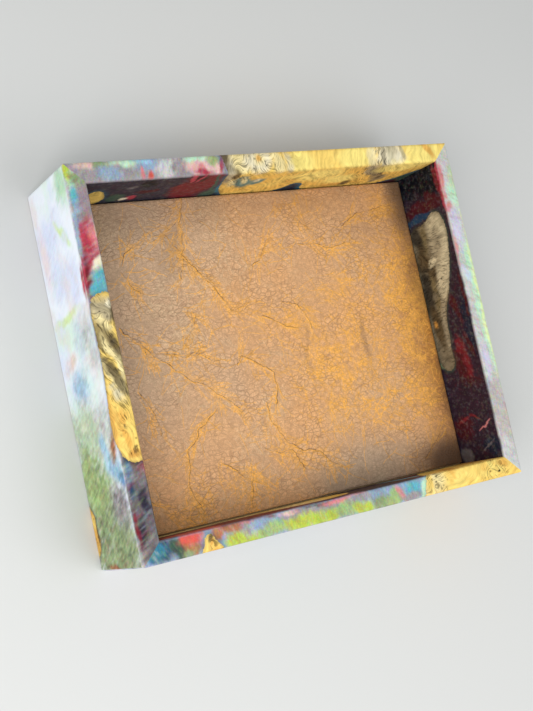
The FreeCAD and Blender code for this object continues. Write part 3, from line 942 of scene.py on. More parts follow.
def grain_places(side, along, way, seed):
    """Places measured across and along the grain, which wanders and runs in rings round knots: each
    knot pushes it aside by twice its breadth times exp(-reach^2).
    """
    on_rim, on_inner, wander = GRAIN[side]
    cos, sin = math.cos(math.radians(on_rim)), math.sin(math.radians(on_rim))
    above = way - RIM_INNER_WAY
    lean = np.where(above < 0, math.tan(math.radians(on_inner)), math.tan(math.radians(on_rim)))
    across = (along + above * lean) * cos
    across = across + wander * drift(along, way, 26, seed) + 1.2 * drift(along, way, 7, seed + 1)
    length = way * cos - along * sin
    random = np.random.default_rng(seed)
    small = random.uniform(SMALL_KNOTS_FROM, SMALL_KNOTS_TO, (SMALL_KNOTS, 3)).tolist()
    for place, height, breadth in small + KNOTS[side]:
        reach = np.hypot(along - place, way - height) / breadth
        across = across + 2.0 * breadth * np.exp(-reach ** 2)
    return np.stack([across, length, np.zeros_like(across)], 1)


# What the rails carry at each corner, and which output of the attribute it is read from
CAST_FIELDS = {
    "resin": "Color", "burl": "Color", "edge": "Fac", "eyes": "Fac", "streaks": "Fac", "shine": "Fac",
    "grain": "Vector",
}


def cast_rail_look(name):
    """Burl stabilised and cast in resin full of colour-shift mica, sanded flush and satin-polished:
    the resin shimmers in fine flakes and strokes, and the wood shows fine grain, pores and eyes.
    """
    material, add = new_material(name)
    place = add("TexCoord", {}).outputs["Object"]
    resin, burl, edge, crowd, streaked, shine, grain = (
        add("Attribute", {}, attribute_name=name).outputs[output] for name, output in CAST_FIELDS.items()
    )

    # Mica: strokes 1 to 4 mm long where the pigment was drawn out, and flakes. Real flakes are far
    # finer than a millimetre, so these are as coarse as they need to be to show
    strokes_at = add("Mapping", {
        "Vector": place, "Rotation": (0.3, 0.5, 0.9), "Scale": (850.0, 230.0, 480.0),
    })
    strokes = add("TexNoise", {"Vector": strokes_at, "Scale": 1.0, "Detail": 3.0, "Distortion": 0.4})
    flakes = add("TexNoise", {"Vector": place, "Scale": 1100.0, "Detail": 2.0})
    shifted = add("Mix", {
        0: 0.5, 6: strokes.outputs["Color"], 7: flakes.outputs["Color"],
    }, data_type="RGBA")
    depth = add("Math", {0: shine, 1: 0.75}, operation="MULTIPLY")
    resin = add("Mix", {
        0: depth, 6: resin, 7: shifted.outputs[2],
    }, data_type="RGBA", blend_type="OVERLAY").outputs[2]

    # Grain: bands about 3 mm apart and finer lines about 1 mm apart, drawn out along it
    bands_at = add("Mapping", {"Vector": grain, "Scale": (0.36, 0.045, 1.0)})
    bands = add("TexNoise", {"Vector": bands_at, "Scale": 1.0, "Detail": 3.0, "Roughness": 0.6})
    lines_at = add("Mapping", {"Vector": grain, "Scale": (1.25, 0.16, 1.0)})
    lines = add("TexNoise", {"Vector": lines_at, "Scale": 1.0, "Detail": 4.0, "Roughness": 0.6})
    figure = add("Math", {0: lines, 1: 0.7, 2: bands}, operation="MULTIPLY_ADD")
    tone = add("MapRange", {
        "Value": figure, "From Min": 0.62, "From Max": 1.08, "To Min": 0.72, "To Max": 1.24,
    })
    needles = add("MapRange", {"Value": lines, "From Min": 0.50, "From Max": 0.60})
    needled = add("Math", {0: needles, 1: streaked}, operation="MULTIPLY")
    lighter = add("Math", {0: needled, 1: -0.68, 2: 1.0}, operation="MULTIPLY_ADD")
    eyes = add("TexVoronoi", {"Vector": place, "Scale": 300.0, "Randomness": 1.0})
    pip = add("MapRange", {"Value": eyes.outputs["Distance"], "From Min": 0.10, "From Max": 0.30})
    pip = add("Math", {0: 1.0, 1: pip}, operation="SUBTRACT")
    dark = add("Math", {0: pip, 1: crowd}, operation="MULTIPLY")
    darker = add("Math", {0: dark, 1: -0.5, 2: lighter}, operation="MULTIPLY_ADD")
    toned = add("Math", {0: tone, 1: darker}, operation="MULTIPLY")
    burl = add("HueSaturation", {"Hue": 0.5, "Saturation": 1.0, "Value": toned, "Color": burl})

    # The wood's natural edge is ragged to about a millimetre
    ragged = add("TexNoise", {"Vector": place, "Scale": 700.0, "Detail": 4.0})
    torn = add("Math", {0: ragged, 1: 2.4, 2: -1.2}, operation="MULTIPLY_ADD")
    torn = add("Math", {0: edge, 1: torn}, operation="ADD")
    share = add("MapRange", {"Value": torn, "From Min": -0.12, "From Max": 0.12})
    colour = add("Mix", {0: share, 6: resin, 7: burl}, data_type="RGBA").outputs[2]
    rough = add("MapRange", {"Value": share, "To Min": 0.48, "To Max": 0.55})
    relief = add("Math", {0: figure, 1: share}, operation="MULTIPLY")
    bump = add("Bump", {"Height": relief, "Strength": 0.12, "Distance": 0.0002})
    surface = add("BsdfPrincipled", {
        "Base Color": colour, "Roughness": rough, "Specular IOR Level": 0.08, "Normal": bump,
    })
    add("OutputMaterial", {"Surface": surface})
    return material


LOOKS = {"cast_resin": cast_rail_look("colour_shift_resin"), "burl_wood": cast_rail_look("oiled_burl")}

# Past this many mm from the wood's edge, a place counts as no farther
FAR_FROM_SEAM = 20.0
# How strongly the mica glitters on the inner face, the rim and the outer face
MICA = (0.45, 1.0, 0.7)


def cast_rails():
    """Every rail's pieces, tiled, coloured and set in place of their CAD nodes."""
    for number, (side, rail) in enumerate(RAILS.items()):
        names = [name for name in CAST_PIECES if name.startswith(side)]
        tiled = {name: fine_rail_piece(rail, name) for name in names}
        seams = np.concatenate([tiled[name][2] for name in names if "burl" in name])
        seed = 100 * number + 7
        for name in names:
            local, faces, _ = tiled[name]
            way = way_round(local[:, 1], local[:, 2])[0]
            along = local[:, 0]
            made = piece(name + "_cast", from_rail(rail, local), faces.tolist(),
                         LOOKS[CAST_PIECES[name]], CAST_PIECES[name])
            edge = np.minimum(distance_to(along, way, seams[:, 0], seams[:, 1])[0], FAR_FROM_SEAM)
            drifted = swept(along, way, seed + 70)
            crowd = sum(lies_in(*eyes, drifted, SOFT_FIGURE) for eyes in EYES[side])
            streaked = sum(lies_in(*needles, drifted, SOFT_FIGURE) for needles in STREAKS[side])
            shine = sum(mica * share for mica, share in zip(MICA, faces_at(way)))
            grain = grain_places(side, along, way, seed + 80)
            for field, kind, values in (
                ("resin", "FLOAT_COLOR", resin_colours(side, along, way, edge, seed)),
                ("burl", "FLOAT_COLOR", burl_colours(side, along, way, edge, grain, seed)),
                ("edge", "FLOAT", edge * (1 if "burl" in name else -1)),
                ("eyes", "FLOAT", np.minimum(crowd, 1)),
                ("streaks", "FLOAT", np.minimum(0.3 + 0.7 * streaked, 1)),
                ("shine", "FLOAT", shine),
                ("grain", "FLOAT_VECTOR", grain),
            ):
                write_attribute(made.data, field, kind, values)
            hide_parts(name)


cast_rails()

# The floor of the tray: leather over board and panel, and suede below

# The well between the rails, and the two sheets cut to lie in it, a millimetre clear all round
WELL = (TRAY_LENGTH - 2 * RAIL_THICKNESS, TRAY_WIDTH - 2 * RAIL_THICKNESS)
SHEET_SIZE = (252.0, 201.2)
LEATHER_BACK = 18.7
LEATHER_FACE = 20.45
LEATHER_STEP = 0.75
SUEDE_FACE = 8.75
SUEDE_BACK = 9.7
SUEDE_STEP = 2.0


def sheet_grid(size, step):
    """Places across a rectangular sheet, step apart, as two grids."""
    across = np.linspace(-size[0] / 2, size[0] / 2, round(size[0] / step) + 1)
    deep = np.linspace(-size[1] / 2, size[1] / 2, round(size[1] / step) + 1)
    return np.meshgrid(across, deep, indexing="ij")


def sheet_mesh(x, y, face, back):
    """A closed sheet: a finely modelled face, plain walls round it and one flat back, which is
    turned over where the face looks down.
    """
    rows, columns = x.shape
    number = np.arange(rows * columns).reshape(rows, columns)
    corners = [number[:-1, :-1], number[1:, :-1], number[1:, 1:], number[:-1, 1:]]
    quads = np.stack([corner.ravel() for corner in corners], 1)
    ring = np.concatenate([number[:-1, 0], number[-1, :-1], number[:0:-1, -1], number[0, :0:-1]])
    below = rows * columns + np.arange(len(ring))
    following = np.roll(np.arange(len(ring)), -1)
    walls = np.stack([ring, below, below[following], ring[following]], 1)
    places = np.stack([x.ravel(), y.ravel(), face.ravel()], 1)
    under = places[ring].copy()
    under[:, 2] = back
    places = np.concatenate([places, under])
    faces = quads.tolist() + walls.tolist() + [below[::-1].tolist()]
    if face.mean() < back:
        faces = [list(reversed(corners)) for corners in faces]
    return places, faces


# Creases drawn in mm from the back left corner of the well, to the right and towards the front
CREASES = [
    [(80, 1), (77, 8), (74, 19), (72.5, 32), (70.5, 36)],
    [(77, 12), (70, 18), (63, 22.5)],
    [(62, 25), (70, 36), (77, 45), (84, 54), (90, 62), (93, 70), (97, 75.5), (102, 76), (112, 73)],
    [(29, 86), (37, 96), (47, 104), (55, 112), (62, 117), (70, 120), (74, 124), (80, 131), (88, 139)],
    [(74, 134), (66, 139), (58, 147), (49, 158), (46.5, 166), (44, 178), (47, 184), (48.5, 191)],
    [(70, 170), (77, 175), (84, 180), (92, 185)],
    [(18, 182), (28, 190), (36, 195), (46, 202)],
    [(94, 112), (99.5, 105), (106, 109.5), (114, 115), (119.5, 120), (118, 130), (114.5, 140)],
    [(108, 138), (110, 148), (114, 157), (120, 167), (128, 172), (138, 174), (144, 178), (149, 184),
     (154, 188)],
    [(120, 170), (124, 178), (128, 182.5)],
    [(88, 174), (90, 178), (86, 190), (84, 200)],
    [(28, 45), (32, 52), (37, 59)],
    [(158, 37), (170, 40), (180, 43), (196, 41)],
    [(196, 30), (206, 24), (218, 20), (230, 19), (240, 19)],
    [(222, 196), (230, 188), (238, 180)],
    [(120, 82), (128, 87), (136, 92), (144, 93)],
    [(138, 75), (148, 77), (152, 84), (155, 94)],
    [(70, 36), (72, 43), (68, 52)],
    [(66, 72), (72, 76), (70, 84), (62, 90)],
    [(48, 98), (58, 102), (66, 99), (76, 104)],
    [(102, 166), (112, 170), (120, 170)],
    [(30, 40), (34, 32), (40, 30)],
    [(20, 78), (32, 90), (34, 96)],
    [(24, 118), (30, 130), (33, 145)],
    [(118, 54), (120, 48), (128, 44), (136, 34)],
]

# Rubbed places, and towards the right a painted sheen, as centre, half width, half depth in mm from
# the well's back left corner, and strength
RUBBED_AND_SHEEN = [
    (236, 90, 26, 62, 1.0), (180, 72, 24, 14, 0.7), (176, 122, 40, 26, 0.8), (164, 18, 18, 22, 0.55),
    (232, 18, 14, 14, 0.85), (208, 150, 36, 24, 0.7), (232, 150, 20, 26, 0.8), (40, 190, 34, 12, 0.35),
    (205, 100, 50, 50, 0.45), (120, 84, 12, 10, 0.5), (148, 84, 10, 16, 0.5), (60, 100, 24, 12, 0.35),
    (85, 185, 16, 18, 0.45), (145, 130, 16, 22, 0.4), (196, 40, 20, 10, 0.5), (76, 82, 14, 12, 0.35),
    (214, 60, 22, 18, 0.6), (170, 150, 30, 16, 0.7), (95, 148, 40, 10, 0.3),
]
# Places left dull and dark: wear from handling in streaks and spots, and painted shade along the walls
# at the back, at both sides and in the front right corner
WORN_AND_WALL_SHADE = [
    (256, 12, 22, 34, 0.85), (250, 200, 34, 22, 0.95), (140, -2, 130, 26, 0.36), (212, 22, 34, 30, 0.2),
    (40, 0, 66, 26, 0.34), (-4, 60, 16, 100, 0.10), (195, 106, 4, 16, 0.35), (150, 110, 2, 26, 0.2),
    (100, -8, 120, 18, 0.3), (64, 30, 10, 22, 0.25), (257, 110, 6, 110, 0.4), (256, 56, 16, 56, 0.4),
]
# Places where the dye under the wax is a deep amber
AMBER = [(262, 110, 34, 90, 0.9), (10, 176, 30, 40, 0.1)]
# Places where the wax lies thick and greys the dye
THICK_WAX = [(176, 200, 60, 30, 1.0), (60, 30, 60, 34, 0.6)]
# The tears in the outlines of those rubbed and sheen places, which the threads follow too
RUBBED_AND_SHEEN_SEED = 910


# How many mm a blot's outline is torn by, and the size of the tears
TEAR = 7
TEAR_SIZE = 26


def blots(x, y, places, seed):
    """Soft ellipses, torn by drift, each up to its strength; the strongest holds."""
    x = x + TEAR * drift(x, y, TEAR_SIZE, seed)
    y = y + TEAR * drift(x, y, TEAR_SIZE, seed + 1)
    total = np.zeros_like(x)
    for across, deep, width, depth, strength in places:
        reach = np.hypot((x - across) / width, (y - deep) / depth)
        total = np.maximum(total, strength * (1 - soft_step(0.35, 1.35, reach)))
    return total


def crease_twigs(paths, seed):
    """Short side creases: two from random places on each leg of a crease, that turn off to one side
    and go on in five strides with a random bend after each.
    """
    random = np.random.default_rng(seed)
    starts, ends = [], []
    for path in paths:
        points = np.array(path, float)
        for start, end in zip(points[:-1], points[1:]):
            for _ in range(2):
                place = start + (end - start) * random.uniform()
                heading = math.atan2(end[1] - start[1], end[0] - start[0])
                heading += random.choice([-1, 1]) * random.uniform(0.3, 1.2)
                for _ in range(5):
                    reach = random.uniform(1.2, 3.4)
                    further = place + reach * np.array([math.cos(heading), math.sin(heading)])
                    starts.append(place)
                    ends.append(further)
                    place = further
                    heading += random.uniform(-0.6, 0.6)
    return np.array(starts), np.array(ends)


def wandering_lines(places, headings, steps, stride, bend, seed):
    """Lines that set out from places at headings and turn by a random bend after each stride."""
    random = np.random.default_rng(seed)
    starts, ends = [], []
    for _ in range(steps):
        reach = stride * random.uniform(0.5, 1.5, len(places))[:, None]
        further = places + reach * np.stack([np.cos(headings), np.sin(headings)], 1)
        starts.append(places)
        ends.append(further)
        places = further
        headings = headings + random.normal(0, bend, len(places))
    return np.concatenate(starts), np.concatenate(ends)


# Loose threads that are tried over the whole hide, and threads for each leg of a crease
LOOSE_THREADS = 9000
CREASE_THREADS = 7


def wax_threads(seed):
    """The hair-fine gold threads: most in the rubbed places, those towards the right partly a painted
    sheen, and sheaves by each crease.
    """
    random = np.random.default_rng(seed)
    places = random.uniform((0, 0), WELL, (LOOSE_THREADS, 2))
    chance = 0.03 + blots(places[:, 0], places[:, 1], RUBBED_AND_SHEEN, RUBBED_AND_SHEEN_SEED) ** 1.5 * 0.45
    places = places[random.uniform(size=len(places)) < chance]
    headings = random.uniform(-math.pi, math.pi, len(places))
    ways = [wandering_lines(places, headings, 5, 3.0, 0.2, seed + 1)]
    for number, path in enumerate(CREASES):
        points = np.array(path, float)
        legs = np.diff(points, axis=0)
        which = random.integers(len(legs), size=CREASE_THREADS * len(legs))
        places = points[which] + legs[which] * random.uniform(size=(len(which), 1))
        headings = np.arctan2(legs[which, 1], legs[which, 0]) + random.normal(0, 0.5, len(which))
        places = places + random.normal(0, 1.8, places.shape)
        ways.append(wandering_lines(places, headings, 5, 2.8, 0.13, seed + 2 + number))
    return np.concatenate([way[0] for way in ways]), np.concatenate([way[1] for way in ways])


# Wrinkles lie in bundles: how many bundles, how many lines in one and how many mm apart
BUNDLES = 190
BUNDLE_LINES = 8
BUNDLE_GAP = 2.6


def wrinkles(seed):
    """Wrinkles from tumbling the hide, in bundles of lines side by side, each bundle its own way."""
    random = np.random.default_rng(seed)
    centres = random.uniform((0, 0), WELL, (BUNDLES, 2)).repeat(BUNDLE_LINES, 0)
    heading = random.uniform(0, 2 * math.pi, BUNDLES).repeat(BUNDLE_LINES)
    ranks = np.arange(BUNDLE_LINES) - (BUNDLE_LINES - 1) / 2
    aside = np.tile(BUNDLE_GAP * ranks, BUNDLES) + random.normal(0, 0.5, len(heading))
    ahead = random.uniform(-9, 3, len(heading))
    cos, sin = np.cos(heading), np.sin(heading)
    places = centres + np.stack([ahead * cos - aside * sin, ahead * sin + aside * cos], 1)
    return wandering_lines(places, heading + random.normal(0, 0.25, len(heading)), 8, 2.0, 0.28, seed + 1)


# Half the width in mm of each kind of line on the leather, down to what still shows in the render
HALF_WIDTHS = {"crease": 0.5, "twig": 0.36, "thread": 0.35, "wrinkle": 0.42}


def leather_look():
    """Full-grain pull-up leather, waxed and tumbled: brown where the wax lies, gold in threads and
    patches where it is folded or rubbed away, the gold towards the right partly a painted sheen, and
    wrinkled all over between its finer pebbles, with painted shade beside its creases and along its
    walls.
    """
    material, add = new_material("waxed_leather")
    place = add("TexCoord", {}).outputs["Object"]
    gold, shade, warm, amber, broken, tumbled = (
        add("Attribute", {}, attribute_name=name).outputs["Fac"]
        for name in ("gold", "shade", "warm", "amber", "broken", "tumbled")
    )

    # Hair-fine lines, each drawn where its signed distance passes through zero and its distance is small
    lines, asides, nears = {}, {}, {}
    for name, half in HALF_WIDTHS.items():
        asides[name], off = (
            add("Attribute", {}, attribute_name=name + field).outputs["Fac"]
            for field in ("_aside", "_off")
        )
        nears[name] = add("MapRange", {
            "Value": off, "From Min": 0.7, "From Max": 1.0, "To Min": 1.0, "To Max": 0.0,
        })
        line = add("Math", {0: asides[name]}, operation="ABSOLUTE")
        line = add("MapRange", {
            "Value": line, "From Min": 0.3 * half, "From Max": half, "To Min": 1.0, "To Max": 0.0,
        })
        lines[name] = add("Math", {0: line, 1: nears[name]}, operation="MULTIPLY")

    # A crease or twig is a raised gold line, and beside each crease runs a trough, painted as a dark line
    # of shade along its one side
    crease = add("Math", {0: lines["twig"], 1: 0.7}, operation="MULTIPLY")
    crease = add("Math", {0: lines["crease"], 1: crease}, operation="MAXIMUM")
    crease = add("Math", {0: crease, 1: broken}, operation="MULTIPLY")
    shaded_trough = add("Math", {0: asides["crease"], 1: 0.7}, operation="SUBTRACT")
    shaded_trough = add("Math", {0: shaded_trough}, operation="ABSOLUTE")
    shaded_trough = add("MapRange", {
        "Value": shaded_trough, "From Min": 0.08, "From Max": 0.38, "To Min": 1.0, "To Max": 0.0,
    })
    shaded_trough = add("Math", {0: shaded_trough, 1: nears["crease"]}, operation="MULTIPLY")
    shaded_trough = add("Math", {0: shaded_trough, 1: broken}, operation="MULTIPLY")
    wrinkle = add("Math", {0: lines["wrinkle"], 1: tumbled}, operation="MULTIPLY")

    # Gold shows where the wax is off: in threads at first, and closing up where it is rubbed most;
    # towards the right the gold is partly a painted sheen
    cloud = add("TexNoise", {"Vector": place, "Scale": 48.0, "Detail": 5.0, "Roughness": 0.6})
    fibre = add("TexNoise", {
        "Vector": place, "Scale": 62.0, "Detail": 9.0, "Roughness": 0.72, "Distortion": 0.8,
    })
    patch = add("MapRange", {
        "Value": fibre, "From Min": 0.40, "From Max": 0.60, "To Min": 0.05, "To Max": 1.0,
    })
    patched = add("Math", {0: gold, 1: patch}, operation="MULTIPLY")
    frayed = add("Math", {0: patch, 1: 0.55, 2: 0.45}, operation="MULTIPLY_ADD")
    frayed = add("Math", {0: lines["thread"], 1: frayed}, operation="MULTIPLY")
    share = 0.0
    for part, strength in ((frayed, 0.85), (patched, 0.88), (crease, 1.0)):
        share = add("Math", {0: part, 1: strength, 2: share}, operation="MULTIPLY_ADD", use_clamp=True)

    brown = add("Mix", {0: warm, 6: paint("#c6a88a"), 7: paint("#dfa871")}, data_type="RGBA").outputs[2]
    brown = add("Mix", {0: amber, 6: brown, 7: paint("#c07d2e")}, data_type="RGBA").outputs[2]
    mottle = add("MapRange", {
        "Value": cloud, "From Min": 0.3, "From Max": 0.7, "To Min": 0.9, "To Max": 1.1,
    })
    brown = add("HueSaturation", {"Value": mottle, "Color": brown})
    raised = add("Math", {0: wrinkle, 1: 0.5}, operation="MULTIPLY")
    brown = add("Mix", {0: raised, 6: brown, 7: paint("#e0c29a")}, data_type="RGBA").outputs[2]
    colour = add("Mix", {0: share, 6: brown, 7: paint("#f6b351")}, data_type="RGBA").outputs[2]

    # The fine tone of its pores, from about 2 mm down, and over it the dull dark of handling and the
    # painted shade along the walls
    pores = add("TexNoise", {"Vector": place, "Scale": 420.0, "Detail": 4.0, "Roughness": 0.65})
    pores = add("MapRange", {
        "Value": pores, "From Min": 0.36, "From Max": 0.64, "To Min": 0.91, "To Max": 1.17,
    })
    colour = add("HueSaturation", {"Value": pores, "Color": colour})
    colour = add("Mix", {0: shade, 6: colour, 7: paint("#614b3a")}, data_type="RGBA").outputs[2]

    # Wrinkles in a net, about 3 mm from one to the next, and the finer net of the grain between them
    bend = add("TexNoise", {"Vector": place, "Scale": 90.0, "Detail": 3.0})
    bent = add("VectorMath", {
        0: bend.outputs["Color"], 1: (0.007, 0.007, 0.0), 2: place,
    }, operation="MULTIPLY_ADD")
    net = add("Mapping", {"Vector": bent, "Rotation": (0.0, 0.0, 0.6), "Scale": (230.0, 400.0, 1.0)})
    net = add("TexVoronoi", {"Vector": net, "Scale": 1.0}, feature="DISTANCE_TO_EDGE")
    net = add("MapRange", {"Value": net, "From Max": 0.13, "To Min": 1.0, "To Max": 0.0})
    pebble = add("TexVoronoi", {"Vector": bent, "Scale": 900.0}, feature="DISTANCE_TO_EDGE")
    pebble = add("MapRange", {"Value": pebble, "From Max": 0.16, "To Min": 0.5, "To Max": 0.0})
    uneven = add("MapRange", {
        "Value": cloud, "From Min": 0.35, "From Max": 0.6, "To Min": 0.25, "To Max": 1.0,
    })
    net = add("Math", {0: net, 1: uneven}, operation="MULTIPLY")
    net = add("Math", {0: net, 1: pebble}, operation="MAXIMUM")
    # Painted shade in the hollows: the net's valleys, partly dye left dark there, and the trough beside
    # each crease
    sunk_shade = 0.0
    for part, strength in ((net, 0.55), (shaded_trough, 0.75)):
        sunk_shade = add("Math", {0: part, 1: strength, 2: sunk_shade}, operation="MULTIPLY_ADD", use_clamp=True)
    colour = add("Mix", {0: sunk_shade, 6: colour, 7: paint("#6b4a30")}, data_type="RGBA").outputs[2]

    grit = add("TexNoise", {"Vector": place, "Scale": 700.0, "Detail": 4.0, "Roughness": 0.6})
    rough = add("MapRange", {"Value": grit, "To Min": 0.42, "To Max": 0.62})
    high = 0.0
    for part, height in ((grit, 0.4), (net, -0.7), (share, 0.3), (wrinkle, 0.5), (shaded_trough, -0.6)):
        high = add("Math", {0: part, 1: height, 2: high}, operation="MULTIPLY_ADD")
    bump = add("Bump", {"Height": high, "Strength": 1.0, "Distance": 0.0003})
    surface = add("BsdfPrincipled", {
        "Base Color": colour, "Roughness": rough, "Specular IOR Level": 0.4, "Normal": bump,
    })
    add("OutputMaterial", {"Surface": surface})
    return material


# The distance in mm that the walls and back are given from every line, so that none shows there
CLEAR_OF_LINES = 2.0


def lay_leather():
    """The leather floor: a flat cut sheet whose face rises in fold creases and drifts between them.

    Its height is a level, a ridge of exp(-(distance / width)^2) along each crease, twig and wrinkle,
    soft drift and puckers, less a rounding of exp(-(distance / width)^2) at the cut edge.
    """
    x, y = sheet_grid(SHEET_SIZE, LEATHER_STEP)
    across = x.ravel() + WELL[0] / 2
    deep = WELL[1] / 2 - y.ravel()
    bent_across = across + 2.0 * drift(across, deep, 8, 901, 5)
    bent_deep = deep + 2.0 * drift(across, deep, 8, 902, 5)
    creases = [np.concatenate([np.array(path[part], float) for path in CREASES])
               for part in (slice(None, -1), slice(1, None))]
    drawn = {
        "crease": distance_to(bent_across, bent_deep, *creases),
        "twig": distance_to(bent_across, bent_deep, *crease_twigs(CREASES, 903)),
        "thread": distance_to(across, deep, *wax_threads(930), 2.0),
        "wrinkle": distance_to(bent_across, bent_deep, *wrinkles(940), 2.0),
    }
    broken = np.clip(0.6 + 0.6 * drift(across, deep, 7, 904), 0.1, 1)
    ridge = np.exp(-(drawn["crease"][0] / 0.34) ** 2) * broken
    twig = np.exp(-(drawn["twig"][0] / 0.4) ** 2)
    twig *= np.clip(0.35 + 0.6 * drift(across, deep, 9, 905), 0, 1)
    puckers = 1 - np.abs(drift(across, deep, 11, 906, 5))
    edge = np.minimum(SHEET_SIZE[0] / 2 - np.abs(x.ravel()), SHEET_SIZE[1] / 2 - np.abs(y.ravel()))
    tumbled = (0.25 + 0.75 * soft_step(200, 60, across)) * (0.6 + 0.6 * drift(across, deep, 16, 909))
    folds = np.exp(-(drawn["wrinkle"][0] / 0.5) ** 2) * tumbled
    face = LEATHER_FACE + 0.06 * folds + 0.16 * ridge + 0.08 * twig
    face += 0.14 * drift(across, deep, 30, 907) + 0.20 * (puckers - 0.6)
    face -= 0.5 * np.exp(-(edge / 0.6) ** 2)
    places, faces = sheet_mesh(x, y, face.reshape(x.shape), LEATHER_BACK)
    leather = piece("leather_floor", places, faces, leather_look(), "tan_leather")
    walls = len(places) - len(across)
    warm = soft_step(-10, 140, across) * (0.8 + 0.35 * drift(across, deep, 34, 908))
    warm *= 1 - blots(across, deep, THICK_WAX, 926)
    warm += 0.7 * soft_step(120, 190, deep) * soft_step(110, 30, across)
    fields = {
        # Gold where the wax is rubbed off, and towards the right a painted sheen
        "gold": (blots(across, deep, RUBBED_AND_SHEEN, RUBBED_AND_SHEEN_SEED) ** 1.7, 0),
        # Dull dark of handling, and painted shade along the walls
        "shade": (blots(across, deep, WORN_AND_WALL_SHADE, 920), 0),
        "warm": (warm, 0),
        "amber": (blots(across, deep, AMBER, 925), 0),
        "broken": (broken, 0),
        "tumbled": (np.clip(tumbled, 0, 1), 0),
    }
    for name, (off, aside) in drawn.items():
        fields[name + "_off"] = (off, CLEAR_OF_LINES)
        fields[name + "_aside"] = (aside, CLEAR_OF_LINES)
    for name, (values, on_walls) in fields.items():
        values = np.concatenate([values, np.full(walls, on_walls)])
        write_attribute(leather.data, name, "FLOAT", values)
    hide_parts("leather_lining")


def suede_look():
    """Thin split suede: no gloss, a short nap brushed lighter and darker."""
    material, add = new_material("suede_lining")
    place = add("TexCoord", {}).outputs["Object"]
    brushed = add("TexNoise", {"Vector": place, "Scale": 45.0, "Detail": 6.0})
    nap = add("TexNoise", {"Vector": place, "Scale": 1800.0, "Detail": 2.0})
    tone = add("Math", {0: nap, 1: 0.5, 2: brushed}, operation="MULTIPLY_ADD")
    colour = add("Mix", {0: tone, 6: paint("#1f1c1b"), 7: paint("#3a3532")}, data_type="RGBA").outputs[2]
    bump = add("Bump", {"Height": nap, "Strength": 0.6, "Distance": 0.0003})
    surface = add("BsdfPrincipled", {
        "Base Color": colour, "Roughness": 0.95, "Sheen Weight": 0.35, "Sheen Roughness": 0.5,
        "Normal": bump,
    })
    add("OutputMaterial", {"Surface": surface})
    return material


def lay_suede():
    """The lining under the panel: a flat sheet, a little uneven where it is glued."""
    x, y = sheet_grid(SHEET_SIZE, SUEDE_STEP)
    face = SUEDE_FACE + 0.05 * drift(x, y, 9, 950)
    places, faces = sheet_mesh(x, y, face, SUEDE_BACK)
    suede = piece("suede_underside", places, faces, suede_look(), "suede")
    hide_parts("underside_lining")


def board_look(name, scale, detail, dark, light, relief, roughness, veneers=None):
    """Bare board: fibres drawn out by the scale, between a dark and a light shade, in slight relief.
    Veneers, where there are any, darken by their shade in bands a little over a millimetre apart.
    """
    material, add = new_material(name)
    place = add("TexCoord", {}).outputs["Object"]
    stretched = add("Mapping", {"Vector": place, "Scale": scale})
    fibres = add("TexNoise", {"Vector": stretched, "Scale": 1.0, "Detail": detail})
    colour = add("Mix", {0: fibres, 6: paint(dark), 7: paint(light)}, data_type="RGBA").outputs[2]
    if veneers:
        bands = add("TexWave", {
            "Vector": place, "Scale": 260.0, "Distortion": 0.4,
        }, bands_direction="Z")
        colour = add("Mix", {
            0: bands, 6: colour, 7: paint(veneers),
        }, data_type="RGBA", blend_type="MULTIPLY").outputs[2]
    bump = add("Bump", {"Height": fibres, "Strength": relief, "Distance": 0.0002})
    surface = add("BsdfPrincipled", {"Base Color": colour, "Roughness": roughness, "Normal": bump})
    add("OutputMaterial", {"Surface": surface})
    return material


# Birch plywood, sanded: a pale face with faint grain, and veneers that show at its edge
PLYWOOD = ("birch_plywood", (25.0, 260.0, 260.0), 4.0, "#c9a776", "#e2c79b", 0.15, 0.6, "#b08a5a")
# Hardboard: pressed brown fibres, matt
FIBREBOARD = ("pressed_fibreboard", (900.0, 900.0, 900.0), 6.0, "#5a4230", "#8a6a4c", 0.3, 0.85)
# Planed beech: pinkish tan with short dark flecks along the grain
BEECH = ("planed_beech", (1500.0, 1500.0, 200.0), 3.0, "#a9805c", "#d3ad85", 0.15, 0.55)


def finish_cad_node(material, *names):
    """Gives CAD nodes that stay in sight their real material."""
    for name in names:
        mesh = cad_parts[name].data
        mesh.materials.clear()
        mesh.materials.append(material)


lay_leather()
lay_suede()
finish_cad_node(board_look(*PLYWOOD), "base_panel")
finish_cad_node(board_look(*FIBREBOARD), "liner_board")
finish_cad_node(board_look(*BEECH), "mitre_tongue_back_left", "mitre_tongue_back_right",
                "mitre_tongue_front_left", "mitre_tongue_front_right")

# The studio: a pale floor, a pale sky and two large lamps

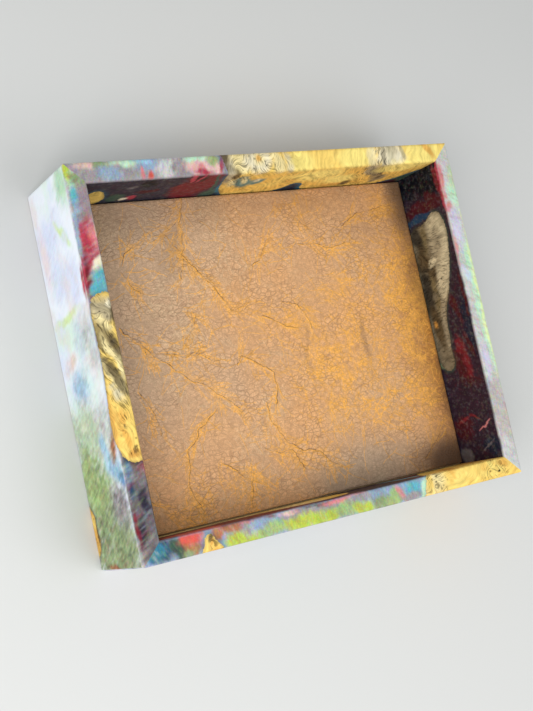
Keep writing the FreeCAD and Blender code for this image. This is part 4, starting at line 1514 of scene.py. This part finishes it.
FLOOR_REACH = 3
floor_mesh = bpy.data.meshes.new("floor")
floor_mesh.from_pydata([
    (-FLOOR_REACH, -FLOOR_REACH, 0), (FLOOR_REACH, -FLOOR_REACH, 0),
    (FLOOR_REACH, FLOOR_REACH, 0), (-FLOOR_REACH, FLOOR_REACH, 0),
], [], [(0, 1, 2, 3)])
floor = bpy.data.objects.new("floor", floor_mesh)
bpy.context.scene.collection.objects.link(floor)
floor_paint, add = new_material("pale_floor")
surface = add("BsdfPrincipled", {"Base Color": paint("#cfd0ce"), "Roughness": 0.6})
add("OutputMaterial", {"Surface": surface})
floor_mesh.materials.append(floor_paint)

world = bpy.data.worlds.new("studio")
world.use_nodes = True
world.node_tree.nodes.clear()
add = adder(world.node_tree)
sky = add("Background", {"Color": paint("#f4f5f6"), "Strength": 0.55})
add("OutputWorld", {"Surface": sky})
bpy.context.scene.world = world

# Each lamp's name, place in metres, breadth in metres and power in watts; both face the tray
LAMPS = [
    ("key", (-0.80, -0.30, 0.80), 0.7, 8.0),
    ("fill", (0.35, -0.55, 0.95), 0.9, 5.5),
]
for name, place, size, power in LAMPS:
    lamp = bpy.data.lights.new(name, "AREA")
    lamp.size = size
    lamp.energy = power
    holder = bpy.data.objects.new(name, lamp)
    holder.location = place
    holder.rotation_euler = (-Vector(place)).to_track_quat("-Z", "Y").to_euler()
    bpy.context.scene.collection.objects.link(holder)

# The camera has the photograph's view, solved from the rim's and the floor's corners

camera = bpy.data.cameras.new("camera")
camera.lens = 58.6
camera.sensor_width = 36.0
camera.clip_start = 0.01
camera.clip_end = 20.0
eye = bpy.data.objects.new("camera", camera)
RIGHT = (0.84610894, -0.21004564, 0.48987804)
UP = (0.13565614, 0.9736746, 0.18318077)
BACK = (-0.51545813, -0.08853593, 0.85232876)
EYE = (-0.390315, -0.071402, 0.648406)
eye.matrix_world = Matrix([*zip(RIGHT, UP, BACK, EYE), (0, 0, 0, 1)])
bpy.context.scene.collection.objects.link(eye)
bpy.context.scene.camera = eye
bpy.context.scene.view_settings.view_transform = "Standard"
